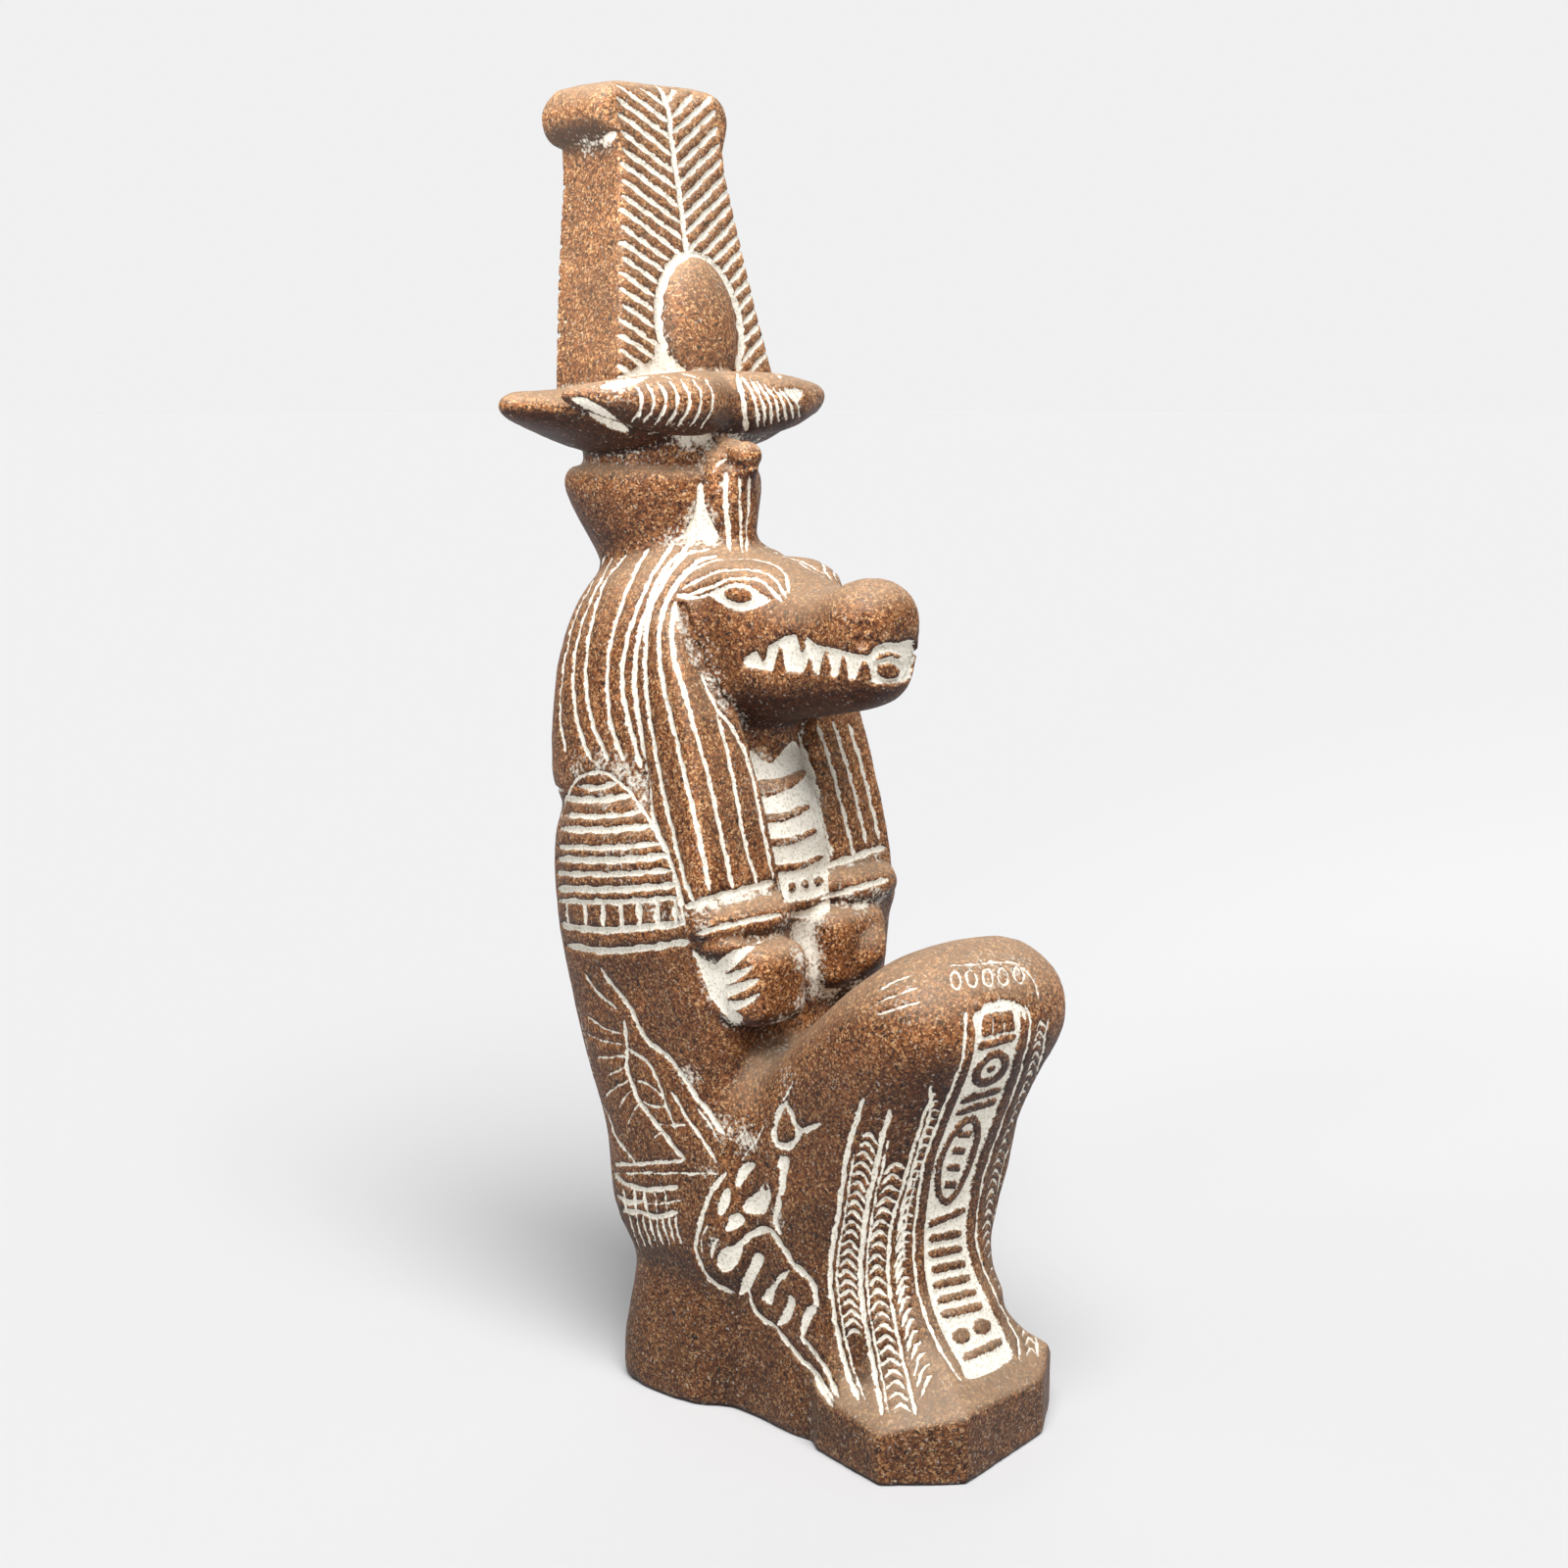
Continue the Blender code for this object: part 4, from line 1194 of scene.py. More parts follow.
@dataclass(frozen=True)
class GarmentCarving:
    """The wing and fringe on the hips, and the snake, the columns and the panel on the legs."""

    def wing(self, tool: Engraver) -> None:
        """A forked stem with veins under the long edge that crosses the hip."""
        lines = (
            (((-33.6, -34), (-31.5, -37.2), (-28.8, -40.4), (-27, -44), (-25, -47.4), (-22.4, -49.2),
              (-20.2, -51.6), (-18.4, -54), (-16.1, -57.6), (-13.8, -60.4), (-11, -64.5)), Stroke.LINE),
            (((-36.6, -35), (-34.7, -37.9), (-32.9, -39.5), (-30.9, -41.3)), Stroke.FINE),
            (((-29.5, -43.5), (-29, -47.6), (-29, -51.3), (-28.4, -54), (-26.5, -58.5), (-23.4, -62.6),
              (-20.6, -66.3), (-18.4, -69)), Stroke.LINE),
            (((-29, -48.4), (-26.1, -50.4), (-24.2, -52.4), (-22.5, -56.7), (-21.1, -60.8), (-20, -63.4)),
             Stroke.FINE),
            (((-20.6, -56.6), (-17.9, -61.3), (-14.7, -65.8), (-12.5, -69.5)), Stroke.FINE),
            (((-37.9, -40.8), (-36.4, -47.6), (-35, -53.5), (-33.6, -59.5), (-32.4, -64.9), (-31.9, -69)),
             Stroke.FINE),
            (((-35.4, -52), (-34, -57.6), (-32.2, -61.3), (-30.6, -65.4), (-27.5, -69.3)), Stroke.FINE),
        )
        for points, stroke in lines:
            tool.line(VIEW, points, stroke, mirror=True)
        veins = (
            ((-36.5, -42.4), (-33.4, -44.7), (-29.7, -46)),
            ((-36.5, -45.8), (-33.8, -47), (-29.3, -48.1)),
            ((-35.2, -50.1), (-32, -50.2), (-29, -49.9)),
            ((-32.9, -53.6), (-31, -53), (-29.2, -52)),
            ((-32.9, -57.6), (-31.1, -55.8), (-28.4, -54.5)),
            ((-30.4, -59.6), (-29.2, -57.4), (-27.8, -56.2)),
            ((-28.8, -62.6), (-27.8, -60.4), (-26.8, -58.8)),
            ((-27.6, -54.4), (-24.6, -55.4), (-22.2, -57.8)),
            ((-26.4, -58), (-24, -59.2), (-21.6, -59.4)),
            ((-24.2, -62.5), (-21, -62.7), (-17.4, -62.5)),
            ((-24.4, -65.8), (-23.2, -64.4), (-22.4, -63.8)),
            ((-16.4, -59), (-13.8, -62.4), (-11.8, -66)),
        )
        for vein in veins:
            tool.line(VIEW, vein, Stroke.HAIR, mirror=True)

    def belt(self, tool: Engraver) -> None:
        """Three hem lines, a row of bricks and the fringe under them."""
        for points, stroke in (
            (((-32, -70), (-27, -69.8), (-18.2, -69.2)), Stroke.FINE),
            (((-31.4, -71.6), (-24, -71.5), (-12, -71.6)), Stroke.HAIR),
            (((-31.6, -71.4), (-28.6, -73.8), (-24, -74.5), (-19.7, -74)), Stroke.LINE),
            (((-30.9, -75.4), (-28.8, -76.8), (-26, -76.6)), Stroke.LINE),
            (((-25.8, -77.2), (-22, -77), (-18.4, -76.4)), Stroke.HAIR),
            (((-30.2, -78.3), (-26.4, -78.8), (-23.8, -79.5), (-19.7, -78.7)), Stroke.LINE),
        ):
            tool.line(VIEW, points, stroke, mirror=True)
        for index in range(5):
            across = -29.6 + 1.9 * index
            stroke = Stroke.LINE if index < 3 else Stroke.HAIR
            tool.line(VIEW, [(across, -74.4), (across + 0.5, -78.6)], stroke, mirror=True)
        tool.rows(VIEW, [(-29.8, -79), (-29, -82), (-27.6, -85.6)],
                  [(-20, -79), (-19.9, -81), (-19, -84.4)], 9, Stroke.FINE, mirror=True)

    def snake(self, tool: Engraver) -> None:
        """The rearing snake on the right thigh: its outlined coils and the white ground between them."""
        pools = (
            [(-1.3, -68.7), (0.9, -68.7), (0.4, -72), (0, -75), (-1.2, -75.5), (-0.9, -72)],
            [(-7.4, -69.6), (-5.3, -69.8), (-6.5, -71.6), (-8, -73.7), (-9, -73.9), (-8.5, -71.6)],
            [(-10.8, -74.4), (-9.9, -74.6), (-10.1, -77.1), (-11.5, -79.4), (-12.4, -78.9), (-11.7, -76.2)],
            [(-10.1, -79.6), (-8.3, -78.9), (-7.1, -80.3), (-9.2, -81.9), (-10.8, -82.1), (-10.3, -80.7)],
            [(-7.6, -83.7), (-7.8, -86.2), (-8.5, -88), (-10.5, -89.8), (-12.1, -88.9), (-12.4, -87.1),
             (-11, -85.3), (-9.2, -84.8)],
            [(-5.3, -86.2), (-3.7, -87.1), (-5.1, -90.3), (-6.5, -93), (-8.3, -93.9), (-8, -92.1),
             (-6.5, -88.9)],
            [(0.8, -93.9), (2, -94.8), (1.7, -96.6), (0.6, -98.9), (-1.5, -99.4), (-0.5, -97.5),
             (0.4, -95.3)],
            [(-4.2, -94.4), (-1.5, -91.4), (0.1, -90.3), (-1.5, -92.5), (-2.4, -95.7), (-3.7, -94.8)],
            [(5.4, -95.7), (3.8, -96.6), (3.1, -98.9), (2.9, -101.2), (3.5, -101.6), (4.9, -98.5),
             (6, -96.6)],
            [(2, -62.4), (3.2, -63.4), (3, -65), (1.8, -66.2), (2, -64.4)],
        )
        for outline in pools:
            tool.pool(VIEW, outline)
        tool.pool(VIEW, [(-3.7, -73), (-2.8, -73.9), (-2.6, -76.2), (-3.7, -78.9), (-6, -79.1), (-7.8, -78),
                         (-6, -75.7), (-4.6, -74.8)], [oval((-3.5, -73.9), (0.35, 0.8))])
        lines = (
            (((0.4, -58.5), (-1.2, -60.7), (-1.9, -63.9), (-1.2, -66.2), (0.8, -66.6), (2.2, -64.8),
              (1.7, -61.6),
              (0.6, -59.4)), Stroke.BOLD),
            (((3, -63.9), (4.8, -63.3), (6.5, -62.5)), Stroke.LINE),
            (((-0.8, -59), (0.4, -57), (1.6, -54.6)), Stroke.HAIR),
            (((-3.2, -62), (-5.2, -65.4), (-8.4, -70)), Stroke.HAIR),
            (((-12, -72.4), (-14.2, -76.4), (-15.6, -81)), Stroke.FINE),
            (((-10.8, -71.4), (-13.7, -75.4), (-15.1, -79.4), (-16.2, -83.5), (-16.2, -86.2),
              (-14.6, -89.8),
              (-12.4, -92.1), (-9.2, -93.5)), Stroke.LINE),
            (((-14, -81), (-15.2, -83.6), (-15.2, -86)), Stroke.HAIR),
            (((-12.2, -83.6), (-13.2, -85.4), (-13.4, -87.2)), Stroke.FINE),
            (((-7.6, -84.4), (-6, -82.8), (-3.3, -81.9), (-1.5, -83.5), (0.4, -86.2), (1.3, -88),
              (3.5, -89.8),
              (5.4, -92.5), (6, -95.7)), Stroke.BOLD),
            (((-1, -75.3), (-1.2, -78), (-1.9, -79.8), (-0.7, -82.5)), Stroke.BOLD),
            (((-6.5, -93), (-6, -95.7), (-3.7, -98.5), (-1.5, -99.8)), Stroke.LINE),
            (((-1.5, -91.6), (0.8, -89.4)), Stroke.LINE),
            (((-1.5, -99.8), (0.4, -102.5), (3.1, -105.7), (5.4, -108), (7.2, -111.6), (8.8, -114.2)),
             Stroke.LINE),
            (((3.1, -101.6), (5.4, -104.4), (7.6, -107.5), (9.9, -112.5)), Stroke.LINE),
            (((5.4, -107.4), (7.4, -110.4), (9, -113.2)), Stroke.FINE),
        )
        for points, stroke in lines:
            tool.line(VIEW, points, stroke)
        tool.dust(VIEW, [(-7, -65, 4, 0.9), (-10.6, -63.4, 3.4, 0.6), (-17.6, -53.6, 3.4, 0.8),
                         (-12.4, -62, 3, 0.5), (-1.4, -79.6, 3, 0.6), (0.4, -54, 4, 0.4),
                         (-14, -71, 4, 0.4), (-13, -84, 3, 0.4)])

    def columns(self, tool: Engraver) -> None:
        """Upright lines down the shins with rows of chevrons between them."""
        first = ((14.5, -58), (13, -62.5), (11.5, -68), (10.5, -74.5), (9.8, -79.5), (9, -84), (8.4, -90),
                 (8.9, -96), (10, -102), (11.6, -108), (13.6, -113))
        second = ((19.5, -60), (17.9, -65.5), (16.9, -70.5), (15.8, -75), (15, -79.5), (14.4, -84),
                  (14, -89.5), (14.4, -96), (15.4, -102), (16.7, -108.6), (18, -115.6))
        third = ((26.8, -58), (25, -63.4), (23.2, -69), (21.6, -75), (20, -80), (19.3, -85),
                 (19.2, -91), (20.1, -97.5), (21.4, -103.8), (22.9, -110.2), (24.2, -115.8))
        fourth = ((24.6, -71.6), (23.4, -76), (22.5, -80), (22, -84), (22.2, -88.4))
        for line, stroke in ((first, Stroke.LINE), (second, Stroke.LINE), (third, Stroke.FINE),
                             (fourth, Stroke.HAIR)):
            tool.line(VIEW, line, stroke)
        tool.line(VIEW, [(x + 1.3, z) for x, z in first[2:]], Stroke.HAIR)
        tool.line(VIEW, [(x + 1.2, z) for x, z in second[1:]], Stroke.HAIR)
        self.chevrons(tool, first[1:9], second[1:9], 21)
        self.chevrons(tool, second[2:], third[2:], 22)
        inner = ((27, -54), (29, -58), (27.6, -63), (25.8, -68.6), (24.6, -74), (23.9, -80), (23.2, -86),
                 (23.4, -92), (24.6, -98), (26.4, -103.6), (28.4, -108))
        self.chevrons(tool, third[:8], inner[:8], 24)
        self.chevrons(tool, third[7:], inner[7:], 8)

    def chevrons(self, tool: Engraver, left: Sequence[Point], right: Sequence[Point], count: int) -> None:
        """A column of small roof-shaped strokes between two lines.

        Args:
            tool: The engraver.
            left: The line on their left.
            right: The line on their right, with as many points.
            count: How many strokes there are.
        """
        low = smooth_line(left, 0.1)
        high = smooth_line(right, 0.1)
        for index in range(count):
            share = (index + 0.5) / count
            start = low[int(share * (len(low) - 1))]
            end = high[int(share * (len(high) - 1))]
            foot, head = start.lerp(end, 0.30), start.lerp(end, 0.88)
            top = start.lerp(end, 0.58) + Vector((0, 0.75))
            tool.line(VIEW, [tuple(foot - Vector((0, 0.5))), tuple(top), tuple(head - Vector((0, 0.5)))],
                      Stroke.FINE)

    def panel(self, tool: Engraver) -> None:
        """The white panel down the middle, with plain bars and ovals standing in it, and its borders."""
        left = [(35, -42), (34.8, -46), (34.4, -50.5), (32.6, -55.5), (31, -59.4), (29, -64.5),
                (27.2, -70), (26, -78), (25.4, -85), (26, -92), (27.6, -98), (29.6, -102.5),
                (31.6, -106), (34, -109.4)]
        right = [(43, -40.6), (44, -44), (43, -49.6), (41.6, -54.6), (39.4, -60.6), (37.2, -66.4),
                 (35.4, -72), (34.4, -78), (34, -83.4), (35.2, -88.4), (37.6, -94), (39.8, -98.4),
                 (41.6, -102), (42, -105.6)]
        steps = [index / 20 for index in range(21)]
        low, high = smooth_line(left, 0.1), smooth_line(right, 0.1)

        def across(share_down: float, share_right: float) -> Point:
            """A place in the panel by its shares down and to the right."""
            start = low[int(share_down * (len(low) - 1))]
            end = high[int(share_down * (len(high) - 1))]
            return tuple(start.lerp(end, share_right))

        def bar(down: float, side: float, tall: float, wide: float, lean: float = 0.0) -> list[Point]:
            """A short stroke with blunt ends, its sizes given as shares of the panel."""
            corners = ((-1, -0.6), (-0.85, -1), (0.85, -1), (1, -0.6), (1, 0.6), (0.85, 1), (-0.85, 1),
                       (-1, 0.6))
            return [across(down + tall * y + lean * x, side + wide * x) for x, y in corners]

        def loop(down: float, side: float, tall: float, wide: float) -> list[Point]:
            """An oval, its sizes given as shares of the panel."""
            turns = [2 * math.pi * index / 12 for index in range(12)]
            return [across(down + tall * math.sin(turn), side + wide * math.cos(turn)) for turn in turns]

        islands = [
            bar(0.040, 0.30, 0.030, 0.10),
            bar(0.040, 0.52, 0.030, 0.10),
            bar(0.040, 0.74, 0.030, 0.10),
            bar(0.092, 0.50, 0.011, 0.38, -0.004),
            loop(0.165, 0.52, 0.050, 0.36),
            bar(0.240, 0.50, 0.010, 0.36, -0.006),
            bar(0.274, 0.50, 0.010, 0.36, -0.006),
            loop(0.420, 0.48, 0.122, 0.38),
            bar(0.575, 0.50, 0.010, 0.38, -0.004),
            *(bar(0.625 + 0.040 * index, 0.50, 0.011, 0.34, 0.008) for index in range(6)),
            loop(0.885, 0.30, 0.022, 0.15),
            loop(0.885, 0.68, 0.022, 0.15),
            bar(0.942, 0.50, 0.012, 0.36),
        ]
        outline = [across(share, 0.04) for share in steps] + [across(share,
                                                                     0.96) for share in reversed(steps)]
        tool.pool(VIEW, outline, islands)
        tool.pool(VIEW, loop(0.165, 0.52, 0.028, 0.20), [loop(0.165, 0.52, 0.011, 0.08)])
        rungs = [bar(0.350 + 0.046 * index, 0.48, 0.010, 0.13, 0.006) for index in range(4)]
        tool.pool(VIEW, loop(0.420, 0.48, 0.103, 0.25), rungs)
        for line, offset in ((left, -1.5), (right, 1.4)):
            tool.line(VIEW, [(x + offset, z) for x, z in line], Stroke.FINE)
        outer = [(x + 4.6, z + 0.6) for x, z in right[1:]]
        tool.line(VIEW, outer, Stroke.FINE)
        self.chevrons(tool, [(x + 1.8, z) for x, z in right[1:]], outer, 34)

    def knee(self, tool: Engraver) -> None:
        """Faint plain strokes over the knees, in rows."""
        for index in range(5):
            across = 31.6 + 2.9 * index
            tool.line(VIEW, oval((across, -36 + 0.24 * index), (0.9, 1.6), 12, 8), Stroke.HAIR, closed=True)
        tool.rows(VIEW, [(17, -38), (21, -36), (24.6, -34.6)], [(17, -42.4), (21.4, -41), (25, -40)],
                  3, Stroke.HAIR)
        tool.line(VIEW, [(35.6, -43.6), (37, -41.4), (40, -40.2), (43.4, -41), (44.6, -43)], Stroke.BOLD)
        tool.line(VIEW, [(30, -33.4), (36, -33), (42, -32.8), (45.6, -35.6), (47, -40)], Stroke.HAIR)
        tool.dust(VIEW, [(38, -34, 6, 0.4), (43, -33.4, 5, 0.4), (21, -40, 6, 0.22)])

    def engrave(self, tool: Engraver) -> None:
        """Cut everything on the garment."""
        self.wing(tool)
        self.belt(tool)
        self.snake(tool)
        self.columns(tool)
        self.panel(tool)
        self.knee(tool)


@dataclass
class Figure:
    """The whole carved block."""

    voxel: float = 0.5
    easing: int = 3
    triangles: int = 196_000

    def melt(self, parts: list[bpy.types.Object]) -> bpy.types.Object:
        """Join all blocks and turn them into one skin."""
        bpy.ops.object.select_all(action="DESELECT")
        for part in parts:
            part.select_set(True)
        bpy.context.view_layer.objects.active = parts[0]
        bpy.ops.object.join()
        skin = bpy.context.view_layer.objects.active
        soften(skin, self.voxel, self.easing)
        skin.name = "stone_figure"
        skin.data.name = "stone_figure"
        return skin

    def roughen(self, skin: bpy.types.Object) -> None:
        """Give the smooth skin the slow unevenness of stone worked by hand."""
        for width, lift in ((7.0, 0.34), (2.6, 0.10)):
            clouds = bpy.data.textures.new("unevenness", "CLOUDS")
            clouds.noise_scale = width * MM
            finish_with(skin, "DISPLACE", texture=clouds, strength=lift * MM, mid_level=0.5,
                        texture_coords="LOCAL")

    def set_down(self, skin: bpy.types.Object) -> None:
        """Grind the underside flat."""
        places, _ = read_skin(skin)
        places[:, 2] = np.maximum(places[:, 2], 0.0)
        write_skin(skin, places)

    def weigh_relief(self, skin: bpy.types.Object) -> None:
        """Keep how far each point lies in a hollow, or stands on an edge where the value is negative."""
        places, normals = read_skin(skin)
        blunt = skin.copy()
        blunt.data = skin.data.copy()
        bpy.context.collection.objects.link(blunt)
        finish_with(blunt, "SMOOTH", factor=0.5, iterations=60)
        worn, _ = read_skin(blunt)
        bpy.data.objects.remove(blunt)
        keep_value(skin, "relief", ((worn - places) * normals).sum(axis=1) / MM)

    def thin_out(self, skin: bpy.types.Object) -> None:
        """Use fewer triangles where the stone is plain."""
        triangles = sum(len(face.vertices) - 2 for face in skin.data.polygons)
        log.info("%s is thinned from %d triangles", skin.name, triangles)
        finish_with(skin, "DECIMATE", ratio=self.triangles / triangles, use_collapse_triangulate=True)

    def build(self) -> bpy.types.Object:
        """Model the blocks, melt them and engrave them.

        Returns:
            The finished skin.
        """
        parts = []
        for piece in (Body(), Toes(), Crown(), Uraeus(), Wig(), Fists()):
            parts += piece.build()
            log.info("%s modelled", type(piece).__name__)
        skin = self.melt(parts)
        Face().shape(skin)
        self.roughen(skin)
        self.set_down(skin)
        self.weigh_relief(skin)
        tool = Engraver(skin)
        for carving in (CrownCarving(), HeadCarving(), ChestCarving(), GarmentCarving()):
            carving.engrave(tool)
            log.info("%s drawn, %d marks so far", type(carving).__name__, len(tool.marks))
        tool.refine()
        log.info("%s has %d points before it is cut", skin.name, len(skin.data.vertices))
        tool.cut()
        self.thin_out(skin)
        tool.settle_dust()
        return skin


def paint(code: str) -> tuple[float, float, float, float]:
    """Turn an sRGB hex code into the linear colour that the shader takes."""
    channels = []
    for start in (1, 3, 5):
        value = int(code[start : start + 2], 16) / 255.0
        channels.append(value / 12.92 if value <= 0.04045 else ((value + 0.055) / 1.055) ** 2.4)
    return (*channels, 1.0)


def add_node(tree: bpy.types.NodeTree, kind: str, inputs: dict[str | int, object],
             **settings: object) -> bpy.types.Node:
    """Add one node to a material.

    Args:
        tree: The material's node tree.
        kind: The node's type.
        inputs: For each input its value, or the output that feeds it.
        settings: The node's own settings.

    Returns:
        The node.
    """
    node = tree.nodes.new(kind)
    for key, value in settings.items():
        setattr(node, key, value)
    for key, value in inputs.items():
        if isinstance(value, bpy.types.NodeSocket):
            tree.links.new(value, node.inputs[key])
        else:
            node.inputs[key].default_value = value
    return node


def fill_ramp(node: bpy.types.Node, stops: Sequence[tuple[float, str]], steps: bool = False) -> None:
    """Give a ramp its colours.

    Args:
        node: The ramp.
        stops: Positions and colours from left to right.
        steps: Whether one colour changes to the next without a blend.
    """
    ramp = node.color_ramp
    ramp.interpolation = "CONSTANT" if steps else "LINEAR"
    while len(ramp.elements) < len(stops):
        ramp.elements.new(1.0)
    for element, (position, code) in zip(ramp.elements, stops):
        element.position = position
        element.color = paint(code)


@dataclass(frozen=True)
class SpeckledStone:
    """A brown, coarse-grained stone: grains of many browns, paler on edges, with painted shade in hollows
    and below and a painted highlight on top.
    """

    grain: float = 0.46
    fleck: float = 0.30
    crystal: float = 2.6
    mottle: float = 9.0
    chalk_grain: float = 0.7
    browns: tuple[tuple[float, str], ...] = (
        (0.00, "#2C160C"),
        (0.11, "#4A2814"),
        (0.28, "#6A3E22"),
        (0.46, "#85532F"),
        (0.64, "#9E6A43"),
        (0.79, "#C08E62"),
        (0.93, "#DAB58B"),
    )
    flecks: tuple[tuple[float, str], ...] = (
        (0.00, "#1E0F09"),
        (0.15, "#4F2C18"),
        (0.36, "#764828"),
        (0.62, "#9E6B44"),
        (0.89, "#DCB88E"),
    )
    chalk: tuple[str, str] = ("#F6F1E4", "#CFC5B2")
    roughness: float = 0.58
    chalk_roughness: float = 0.94
    specular: float = 0.35
    # The pale mix colour is partly dust and partly a painted highlight; the foot heights set painted shade
    # towards the bottom, and the crown heights a painted highlight on the crown.
    dust_and_highlight_colour: str = "#DDC0A0"
    foot_shade_heights: tuple[float, float] = (6.0, 74.0)
    crown_highlight_heights: tuple[float, float] = (180.0, 196.0)

    def ramp(self, tree: bpy.types.NodeTree, value: bpy.types.NodeSocket, low: float, high: float,
             to_low: float = 0.0, to_high: float = 1.0) -> bpy.types.NodeSocket:
        """Spread one range of a value over another."""
        node = add_node(tree, "ShaderNodeMapRange", {0: value, 1: low, 2: high, 3: to_low, 4: to_high})
        return node.outputs[0]

    def grains(self, tree: bpy.types.NodeTree, place: bpy.types.NodeSocket) -> bpy.types.NodeSocket:
        """The stone's own colour: two sizes of grain, rare dark crystals and slow mottling."""
        stir = add_node(tree, "ShaderNodeTexNoise", {"Vector": place, "Scale": 1.0 / (1.3 * MM),
                                                     "Detail": 2.0})
        shift = add_node(tree, "ShaderNodeVectorMath", {0: stir.outputs["Color"], 1: (0.5, 0.5, 0.5)},
                         operation="SUBTRACT")
        small = add_node(tree, "ShaderNodeVectorMath", {0: shift.outputs[0], "Scale": 0.9 * MM},
                         operation="SCALE")
        stirred = add_node(tree, "ShaderNodeVectorMath", {0: place, 1: small.outputs[0]},
                           operation="ADD").outputs[0]
        coloured = []
        for size, stops in ((self.grain, self.browns), (self.fleck, self.flecks)):
            cells = add_node(tree, "ShaderNodeTexVoronoi", {"Vector": stirred, "Scale": 1.0 / (size * MM)})
            random = add_node(tree, "ShaderNodeSeparateColor", {0: cells.outputs["Color"]})
            ramp = add_node(tree, "ShaderNodeValToRGB", {0: random.outputs[0]})
            fill_ramp(ramp, stops, steps=True)
            coloured.append(ramp.outputs[0])
        patches = add_node(tree, "ShaderNodeTexNoise", {"Vector": place, "Scale": 1.0 / (0.9 * MM),
                                                        "Detail": 1.0})
        share = self.ramp(tree, patches.outputs[0], 0.40, 0.62, 0.15, 0.85)
        mixed = add_node(tree, "ShaderNodeMix", {0: share, 6: coloured[0], 7: coloured[1]},
                         data_type="RGBA")
        cells = add_node(tree, "ShaderNodeTexVoronoi", {"Vector": stirred,
                                                        "Scale": 1.0 / (self.crystal * MM)})
        near = self.ramp(tree, cells.outputs["Distance"], 0.14, 0.20, 0.85, 0.0)
        random = add_node(tree, "ShaderNodeSeparateColor", {0: cells.outputs["Color"]})
        rare = self.ramp(tree, random.outputs[1], 0.60, 0.62)
        crystal = add_node(tree, "ShaderNodeMath", {0: near, 1: rare}, operation="MULTIPLY").outputs[0]
        dark = add_node(tree, "ShaderNodeMix", {0: crystal, 6: mixed.outputs[2], 7: paint("#1A0E0A")},
                        data_type="RGBA")
        slow = add_node(tree, "ShaderNodeTexNoise", {"Vector": place, "Scale": 1.0 / (self.mottle * MM),
                                                     "Detail": 3.0})
        shade = self.ramp(tree, slow.outputs[0], 0.32, 0.68, 0.78, 1.16)
        tone = add_node(tree, "ShaderNodeVectorMath", {0: dark.outputs[2], "Scale": shade},
                        operation="SCALE")
        return tone.outputs[0]

    def wear_and_painted_light(self, tree: bpy.types.NodeTree, place: bpy.types.NodeSocket,
             colour: bpy.types.NodeSocket) -> bpy.types.NodeSocket:
        """Rub the edges pale and leave hollows, undersides and the foot dark.

        Where the stone faces up it is mixed towards a pale colour, partly dry dust and partly painted
        highlight, and a little painted highlight lies on the whole crown.
        """
        # Edges are made paler and hollows darker by how far each point lies in a hollow; the darkening of
        # hollows is painted shade.
        relief = add_node(tree, "ShaderNodeAttribute", {}, attribute_name="relief").outputs["Fac"]
        shade = self.ramp(tree, relief, -0.30, 0.35, 0.0, 1.0)
        pale_edge_and_hollow_shade = add_node(tree, "ShaderNodeMix", {0: shade, 6: (1.24, 1.24, 1.22, 1.0), 7: (0.50, 0.42, 0.34,
            1.0)},
                       data_type="RGBA")
        worn = add_node(tree, "ShaderNodeVectorMath", {0: colour, 1: pale_edge_and_hollow_shade.outputs[2]},
                        operation="MULTIPLY").outputs[0]
        # Painted shade: faces that look down are multiplied by a dark brown.
        normal = add_node(tree, "ShaderNodeNewGeometry", {}).outputs["Normal"]
        upward = add_node(tree, "ShaderNodeSeparateXYZ", {0: normal}).outputs["Z"]
        under = self.ramp(tree, upward, -0.52, 0.05)
        underside_shade = add_node(tree, "ShaderNodeMix", {0: under, 6: (0.13, 0.065, 0.036, 1.0), 7: (0.92, 0.85,
            0.74, 1.0)},
                         data_type="RGBA")
        shaded_below = add_node(tree, "ShaderNodeVectorMath", {0: worn, 1: underside_shade.outputs[2]},
                         operation="MULTIPLY").outputs[0]
        # Painted shade: the stone is scaled darker towards the foot and brighter higher up.
        height = add_node(tree, "ShaderNodeSeparateXYZ", {0: place}).outputs["Z"]
        foot_shade_scale = self.ramp(tree, height, self.foot_shade_heights[0] * MM, self.foot_shade_heights[1] * MM, 0.62, 1.18)
        stone = add_node(tree, "ShaderNodeVectorMath", {0: shaded_below, "Scale": foot_shade_scale},
                         operation="SCALE").outputs[0]
        # Faces that look up are mixed towards a pale colour, partly dry dust and partly a painted
        # highlight.
        top_dust_and_highlight = self.ramp(tree, upward, 0.15, 0.85, 0.0, 0.40)
        # Painted highlight: the crown above this height is mixed a little towards the pale colour.
        crown = self.ramp(tree, height, self.crown_highlight_heights[0] * MM, self.crown_highlight_heights[1] * MM, 0.0, 0.08)
        pale = add_node(tree, "ShaderNodeMath", {0: top_dust_and_highlight, 1: crown}, operation="ADD").outputs[0]
        return add_node(tree, "ShaderNodeMix", {0: pale, 6: stone, 7: paint(self.dust_and_highlight_colour)},
                        data_type="RGBA").outputs[2]

